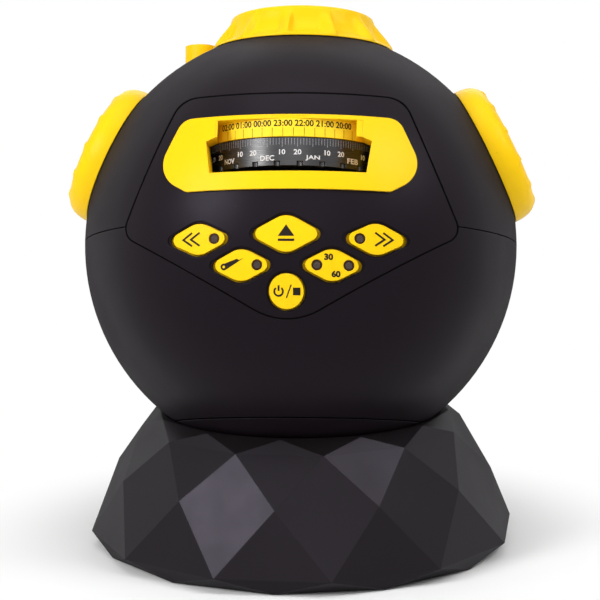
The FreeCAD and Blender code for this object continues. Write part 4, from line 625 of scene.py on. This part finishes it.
def piece(name, bm, body, paint, smooth=False):
    mesh = bpy.data.meshes.new(name)
    bm.to_mesh(mesh)
    bm.free()
    mesh.materials.append(paint)
    for face in mesh.polygons:
        face.use_smooth = smooth
    thing = bpy.data.objects.new(name, mesh)
    bpy.context.scene.collection.objects.link(thing)
    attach(thing, body)
    return thing


def bar(x, low, high, width):
    half = width / 2
    return solid_shape([[(x - half, low), (x + half, low), (x + half, high), (x - half, high)]])


MONTHS = ("JAN", "FEB", "MAR", "APR", "MAY", "JUN", "JUL", "AUG", "SEP", "OCT", "NOV", "DEC")
MONTH_TURN = 30
JANUARY_TURN = 16.0
# Height and width of the print, and the level of its middle
MONTH_SIZE, MONTH_LEVEL = (1.9, 5.2), 22.3
TENS_HEIGHT, TENS_WIDTHS, TENS_LEVEL = 1.85, (2.2, 2.7), 24.35
# A tick stands at every second day, and every fifth tick is longer
TENS_TURN, TICK_TURN, TICK_COUNT, LONG_TICK = 10, 2, 15, 5
DAY_TOP, DAY_LOW, TENTH_LOW, DAY_WIDTH = 29.35, 26.9, 26.2, 0.15


def dial_lettering(paints):
    """Months, tens of days and day ticks round the dial."""
    def way(degrees):
        return math.radians(degrees) * DIAL_RADIUS

    shapes, days = [], []
    for i, month in enumerate(MONTHS):
        start = JANUARY_TURN + i * MONTH_TURN
        shapes.append(moved(solid_letters(month, *MONTH_SIZE), way(start), MONTH_LEVEL))
        for tens, width in enumerate(TENS_WIDTHS, 1):
            number = solid_letters("%d0" % tens, TENS_HEIGHT, width)
            shapes.append(moved(number, way(start + tens * TENS_TURN), TENS_LEVEL))
        for step in range(TICK_COUNT):
            low = TENTH_LOW if step % LONG_TICK == 0 else DAY_LOW
            days.append(bar(way(start + step * TICK_TURN), low, DAY_TOP, DAY_WIDTH))
    printed("dial_lettering", shapes, on_drum(DIAL_RADIUS), "dial", paints["white_ink"])
    printed("dial_days", days, on_drum(DIAL_RADIUS), "dial", paints["grey_ink"])


HOURS = ("02:00", "01:00", "00:00", "23:00", "22:00", "21:00", "20:00")
HOUR_TURN = 13.8
FIRST_HOUR_TURN = -45.0
HOUR_SIZE, HOUR_LEVEL = (2.3, 6.7), 34.6
TICK_LOW, TICK_TOP, TICK_WIDTH = 29.9, 33.0, 0.16


def hour_lettering(paints):
    """Evening hours on the yellow band over the dial."""
    def way(degrees):
        return math.radians(degrees) * HOURS_RADIUS

    words, ticks = [], []
    for i, hour in enumerate(HOURS):
        turn = FIRST_HOUR_TURN + i * HOUR_TURN
        words.append(moved(solid_letters(hour, *HOUR_SIZE), way(turn), HOUR_LEVEL))
        for half in (0, 0.5):
            ticks.append(bar(way(turn + half * HOUR_TURN), TICK_LOW, TICK_TOP, TICK_WIDTH))
    printed("hour_lettering", words, on_drum(HOURS_RADIUS), "drawer", paints["black_ink"])
    printed("hour_ticks", ticks, on_drum(HOURS_RADIUS), "drawer", paints["brown_ink"])


# Places across and up the ball of the signs' middles and of the lamp windows
OUTER_KEY_X, OUTER_KEY_Z = 31.0, -6.8
EJECT_PLACE = (0, -5.5)
METEOR_PLACE = (-15.8, -16.2)
TIMER_NUMBERS = (("30", 14.7, -13.4), ("60", 17.2, -19.2))
POWER_Z, POWER_RING_X = -25.3, -2.7
LAMP_WINDOWS = (("rewind", -25.4, -6.8), ("forward", 25.4, -6.8), ("meteor", -10.2, -16.2),
                ("timer", 10.6, -16.2), ("timer", 21.6, -16.2))
LAMP_RIM_RADIUS, LAMP_RIM_HOLE = 1.8, 1.2

# Outlines of the signs about their middles
CHEVRON_LENGTH, CHEVRON_HALF, CHEVRON_WIDTH = 3.25, 2.3, 0.68
CHEVRON_TIPS = (5.7, 2.9)
EJECT_ARROW = [(-2.85, -0.85), (2.85, -0.85), (0, 3.15)]
EJECT_LINE = [(-2.85, -2.65), (2.85, -2.65), (2.85, -1.8), (-2.85, -1.8)]
COMET_HEAD = [ring(-6.1, -0.5, 1.2), ring(-6.15, -0.5, 0.5, 12)]
COMET_TAIL = [(-5.65, 0.72), (-1.4, 2.2), (-0.8, 1.75), (1.0, 2.4), (-5.2, -1.35), (-5.0, -0.9),
              (-4.85, -0.3)]
TIMER_NUMBER_SIZE, TIMER_BOLD = (2.3, 3.1), 0.05
POWER_RING_RADIUS, POWER_LINE_WIDTH, POWER_GAP, POWER_STEPS = 1.5, 0.65, 80, 20
POWER_BAR_LOW, POWER_BAR_TOP = 0.2, 2.1
SLASH, SLASH_WIDTH = [(0.0, -2.2), (1.7, 2.3)], 0.42
STOP_SQUARE = [(2.3, -1.3), (4.9, -1.3), (4.9, 1.3), (2.3, 1.3)]


def chevron(x, way):
    """A V on its side. Its point is at x, and way is -1 for one that points left."""
    back = x - CHEVRON_LENGTH * way
    return stroke([(back, CHEVRON_HALF), (x, 0), (back, -CHEVRON_HALF)], CHEVRON_WIDTH)


def arrows(way):
    """Both chevrons of the rewind key or the forward key."""
    return [moved(solid_shape([chevron(tip * way, way)]), OUTER_KEY_X * way, OUTER_KEY_Z)
            for tip in CHEVRON_TIPS]


def power_ring():
    """The open ring of the power sign."""
    first, whole = 90 + POWER_GAP / 2, 360 - POWER_GAP
    turns = [math.radians(first + whole * i / POWER_STEPS) for i in range(POWER_STEPS + 1)]
    line = [(POWER_RING_RADIUS * math.cos(a), POWER_RING_RADIUS * math.sin(a)) for a in turns]
    return stroke(line, POWER_LINE_WIDTH)


def key_signs(paints):
    """Plain black signs on the yellow keys."""
    signs = {
        "rewind": arrows(-1),
        "forward": arrows(1),
        "eject": [moved(solid_shape([loop]), *EJECT_PLACE) for loop in (EJECT_ARROW, EJECT_LINE)],
        "meteor": [moved(solid_shape(loops), *METEOR_PLACE) for loops in (COMET_HEAD, [COMET_TAIL])],
        "timer": [moved(solid_letters(number, *TIMER_NUMBER_SIZE, TIMER_BOLD), x, z)
                  for number, x, z in TIMER_NUMBERS],
        "power": [moved(solid_shape([power_ring()]), POWER_RING_X, POWER_Z),
                  moved(bar(0, POWER_BAR_LOW, POWER_BAR_TOP, POWER_LINE_WIDTH), POWER_RING_X, POWER_Z),
                  moved(solid_shape([stroke(SLASH, SLASH_WIDTH)]), 0, POWER_Z),
                  moved(solid_shape([STOP_SQUARE]), 0, POWER_Z)],
    }
    for name, shapes in signs.items():
        printed(name + "_sign", shapes, on_ball(KEY_RADIUS), name, paints["black_ink"])


def lamp_rims(paints):
    """A dark ring inside each lamp window of the keys: painted shade of the window's recessed edge."""
    for name, x, z in LAMP_WINDOWS:
        shape = solid_shape([ring(0, 0, radius, 32) for radius in (LAMP_RIM_RADIUS, LAMP_RIM_HOLE)])
        printed("%s_lamp_rim_%d" % (name, abs(x)), [moved(shape, x, z)], on_ball(WINDOW_RADIUS), name,
                paints["rim_ink"])


# Moulded forms that stand for plainer solids

RIB_PITCH = 30
FIRST_RIB_TURN = -6.5
# In degrees: a rib's rise, where its crest ends, where its fall starts and how long the fall is
RIB_RISE, RIB_CREST_END, RIB_FALL_START, RIB_FALL = 9, 0.5, 0.8, 2.4
CREASE = math.radians(32)
BALL_GAP = 0.3
RIB_TURNS = (-12, -9, -7.5, -6, -4.5, -3, -1.6, -0.5, 0.4, 1.0, 1.5, 2.1, 2.7, 3.2, 5.5, 9, 13.5)


def eased(share):
    share = min(max(share, 0), 1)
    return share * share * (3 - 2 * share)


def rib_share(way):
    """Height of a rib at way degrees from its crest: a long easy flank, then a short steep one."""
    if way < RIB_CREST_END:
        return eased((way + RIB_RISE) / RIB_RISE)
    return 1 - eased((way - RIB_FALL_START) / RIB_FALL)


def lathed(name, outline_at, place, body, paint):
    """A closed form round Z. outline_at gives its outline as radius and height for a share of a rib."""
    bm = bmesh.new()
    rings = []
    for rib in range(int(360 / RIB_PITCH)):
        for way in RIB_TURNS:
            turn = math.radians(FIRST_RIB_TURN + rib * RIB_PITCH + way)
            rings.append([bm.verts.new((r * math.sin(turn), -r * math.cos(turn), z))
                          for r, z in outline_at(rib_share(way))])
    for here, there in zip(rings, rings[1:] + rings[:1]):
        for i in range(len(here)):
            bm.faces.new((here[i - 1], here[i], there[i], there[i - 1]))
    bmesh.ops.recalc_face_normals(bm, faces=bm.faces)
    bmesh.ops.transform(bm, matrix=place, verts=bm.verts)
    for edge in bm.edges:
        edge.smooth = edge.calc_face_angle(0) < CREASE
    return piece(name, bm, body, paint, smooth=True)


def over_ball(radius):
    """Height at which a point at radius stands just clear of the ball."""
    return math.sqrt((BALL_RADIUS + BALL_GAP) ** 2 - radius * radius)


# The focus ring as radius and height, and its wall as height, radius between ribs and radius on a rib's crest
RING_TOP = [(22.0, 88.1), (22.3, 88.4), (25.2, 88.4), (26.1, 88.25), (26.9, 87.95)]
RING_WALL = ((87.6, 27.4, 27.4), (86.7, 27.75, 27.75), (85.8, 27.9, 28.1), (85.0, 28.0, 28.6),
             (84.1, 28.15, 29.3), (83.2, 28.3, 30.0), (82.2, 28.6, 30.8), (81.1, 29.0, 31.7),
             (80.0, 29.6, 32.6), (78.9, 30.3, 33.4), (77.8, 31.3, 34.2), (76.9, 32.6, 34.8),
             (76.2, 34.1, 35.15), (75.5, 35.1, 35.25))
RING_FOOT_RADII = (35.2, 32.0, 29.0, 26.45)
RING_BORE = [(26.45, 85.6), (22.0, 85.6)]


def ring_outline(share):
    wall = [(low + (high - low) * share, z) for z, low, high in RING_WALL]
    return RING_TOP + wall + [(r, over_ball(r)) for r in RING_FOOT_RADII] + RING_BORE


# A side bezel as radius and height, and its wall with the part of a rib's rise that stands at each place
BEZEL_COLLAR = [(20.6, 84.6), (20.6, 71.0), (22.2, 71.0)]
BEZEL_FOOT_RADII = (22.2, 25.0, 27.4)
BEZEL_WALL = ((27.4, 80.0, 0), (27.25, 81.6, 0), (26.95, 83.1, 0), (26.5, 84.5, 0), (25.85, 85.7, 0),
              (25.1, 86.6, 0.1), (24.3, 87.15, 0.6), (23.4, 87.65, 1.0), (22.4, 88.0, 1.0),
              (21.3, 88.25, 0.6), (20.3, 88.35, 0.1))
BEZEL_MOUTH = [(19.5, 88.35), (19.05, 88.0), (19.0, 84.6)]
# How far a rib of the side bezels stands outwards and up
BEZEL_RIB_OUT, BEZEL_RIB_UP = 0.2, 0.45


def bezel_outline(share):
    foot = [(r, over_ball(r)) for r in BEZEL_FOOT_RADII]
    wall = [(r + BEZEL_RIB_OUT * part * share, z + BEZEL_RIB_UP * part * share) for r, z, part in BEZEL_WALL]
    return BEZEL_COLLAR + foot + wall + BEZEL_MOUTH


# The lips stand as far proud of the ball as the bezel does
BEZEL_PROUD = 1.0
LIP_DEPTH, LIP_ROWS = 1.1, 9
LIP_LOW, LIP_TOP = 29.82, 36.18
LIP_OUTER, LIP_EDGES = 25.99, ((-1, 25.3), (1, 23.8))
# Distance from a lip's free edge and how far the face is sunk there
LIP_ROUNDING = ((0.5, 0.01), (0.25, 0.05), (0.06, 0.18), (0, 0.4))


def lip_grid(bm, columns):
    """A thin plate in the ball's curve. columns are places across it with how far each is sunk."""
    rows = LIP_ROWS
    sheets = []
    for back in (0, LIP_DEPTH):
        sheet = []
        for x, sunk in columns:
            fitted = on_ball(BALL_RADIUS + BEZEL_PROUD - sunk - back)
            heights = [LIP_LOW + (LIP_TOP - LIP_LOW) * row / (rows - 1) for row in range(rows)]
            sheet.append([bm.verts.new(HEAD @ fitted(x, z, 0)) for z in heights])
        sheets.append(sheet)
    front, rear = sheets
    last = len(columns) - 1
    for i in range(last):
        for j in range(rows - 1):
            for sheet in sheets:
                bm.faces.new((sheet[i][j], sheet[i + 1][j], sheet[i + 1][j + 1], sheet[i][j + 1]))
        for j in (0, rows - 1):
            bm.faces.new((front[i][j], front[i + 1][j], rear[i + 1][j], rear[i][j]))
    for i in (0, last):
        for j in range(rows - 1):
            bm.faces.new((front[i][j], front[i][j + 1], rear[i][j + 1], rear[i][j]))


def hours_lips(paints):
    """The bezel's thin lips at both ends of the hours band, with rounded edges."""
    bm = bmesh.new()
    for way, edge in LIP_EDGES:
        rounding = [(edge + back, sunk) for back, sunk in LIP_ROUNDING]
        columns = [(LIP_OUTER, LIP_ROUNDING[0][1])] + rounding
        lip_grid(bm, [(way * x, sunk) for x, sunk in columns])
    bmesh.ops.recalc_face_normals(bm, faces=bm.faces)
    lips = piece("hours_lips", bm, "drawer", paints["yellow_plastic"])


STRIP_START, STRIP_TURN, STRIP_STEPS = -51.5, 100.5, 40
# The strip's cross-section as height and lift over the band
STRIP_OUTLINE = ((29.9, 0.02), (32.0, 0.02), (34.0, 0.02), (36.1, 0.02), (36.1, -0.1), (29.9, -0.1))


def hours_painted_light_sheet(paints):
    """A thin sheet on the hours band, cut to fit between the lips, whose paler yellow is painted light over
    the band's shade.
    """
    turns = [STRIP_START + STRIP_TURN * i / STRIP_STEPS for i in range(STRIP_STEPS + 1)]
    bm = bmesh.new()
    fitted = on_drum(HOURS_RADIUS)
    rings = [[bm.verts.new(HEAD @ fitted(math.radians(turn) * HOURS_RADIUS, z, lift))
              for z, lift in STRIP_OUTLINE] for turn in turns]
    for here, there in zip(rings, rings[1:]):
        for i in range(len(here)):
            bm.faces.new((here[i - 1], here[i], there[i], there[i - 1]))
    for end in (rings[0], rings[-1]):
        bm.faces.new(end)
    bmesh.ops.recalc_face_normals(bm, faces=bm.faces)
    piece("hours_painted_light_sheet", bm, "drawer", paints["band_painted_light"])


# Corners of the front panel as x, z and radius
PANEL_CORNERS = ((39.8, 46.4, 9.0), (60.7, -2.8, 5.5), (0, -37.7, 22.8), (-60.7, -2.8, 5.5),
                 (-39.8, 46.4, 9.0))
CORNER_STEPS = 9
# The seam's edge, coloured as painted shade: how far outside the panel it starts and ends, and the least step
# along it
SEAM_INNER, SEAM_OUTER, SEAM_STEP = 0.05, 0.5, 2.0
# Lift over the ball of the edge's four corners, from the inner upper one round to the inner lower one
SEAM_LIFTS = (0.03, 0.02, -0.2, -0.2)


def rounded_line(corners, spread):
    """A closed outline with rounded corners, spread outwards."""
    line = []
    for i, (x, z, radius) in enumerate(corners):
        here = Vector((x, z))
        back = (Vector(corners[i - 1][:2]) - here).normalized()
        on = (Vector(corners[(i + 1) % len(corners)][:2]) - here).normalized()
        half = back.angle(on) / 2
        centre = here + (back + on).normalized() * (radius / math.sin(half))
        start, end = here + back * (radius / math.tan(half)), here + on * (radius / math.tan(half))
        for step in range(CORNER_STEPS + 1):
            way = (start - centre).lerp(end - centre, step / CORNER_STEPS).normalized()
            line.append(tuple(centre + way * (radius + spread)))
    return line


def panel_seam(paints):
    """The rounded-over edge of the shell round the front panel, coloured near black as painted shade of the
    seam.
    """
    inner = [Vector(point) for point in rounded_line(PANEL_CORNERS, SEAM_INNER)]
    outer = [Vector(point) for point in rounded_line(PANEL_CORNERS, SEAM_OUTER)]
    surface = on_ball(BALL_RADIUS)
    bm = bmesh.new()
    lines = [[] for lift in SEAM_LIFTS]
    for i in range(len(inner)):
        j = (i + 1) % len(inner)
        cuts = max(1, int((inner[j] - inner[i]).length / SEAM_STEP))
        for cut in range(cuts):
            a, b = inner[i].lerp(inner[j], cut / cuts), outer[i].lerp(outer[j], cut / cuts)
            for line, point, lift in zip(lines, (a, b, b, a), SEAM_LIFTS):
                line.append(bm.verts.new(HEAD @ surface(point.x, point.y, lift)))
    for line, beside in zip(lines, lines[1:] + lines[:1]):
        for i in range(len(line)):
            bm.faces.new((line[i - 1], line[i], beside[i], beside[i - 1]))
    bmesh.ops.recalc_face_normals(bm, faces=bm.faces)
    piece("panel_seam", bm, "head", paints["shadow_black"])


# Degrees between the head's axis and the axis of a side bezel
BEZEL_LEAN = 64


def moulded_forms(paints):
    """The focus ring and the side bezels with their rounded walls and ratchet ribs."""
    yellow = paints["yellow_plastic"]
    ring_form = lathed("focus_ring_form", ring_outline, HEAD, "focus_ring", yellow)
    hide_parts("focus_ring")
    for side, lean in (("right", BEZEL_LEAN), ("left", -BEZEL_LEAN)):
        place = HEAD @ Matrix.Rotation(math.radians(lean), 4, "Y")
        form = lathed(side + "_bezel_form", bezel_outline, place, "head", yellow)
        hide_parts(side + "_bezel")


def build():
    bpy.context.scene.view_settings.view_transform = "Standard"
    set_camera()
    studio()
    paints = palette()
    dress_frame(paints)
    dial_lettering(paints)
    hour_lettering(paints)
    key_signs(paints)
    lamp_rims(paints)
    moulded_forms(paints)
    hours_painted_light_sheet(paints)
    hours_lips(paints)
    panel_seam(paints)


build()
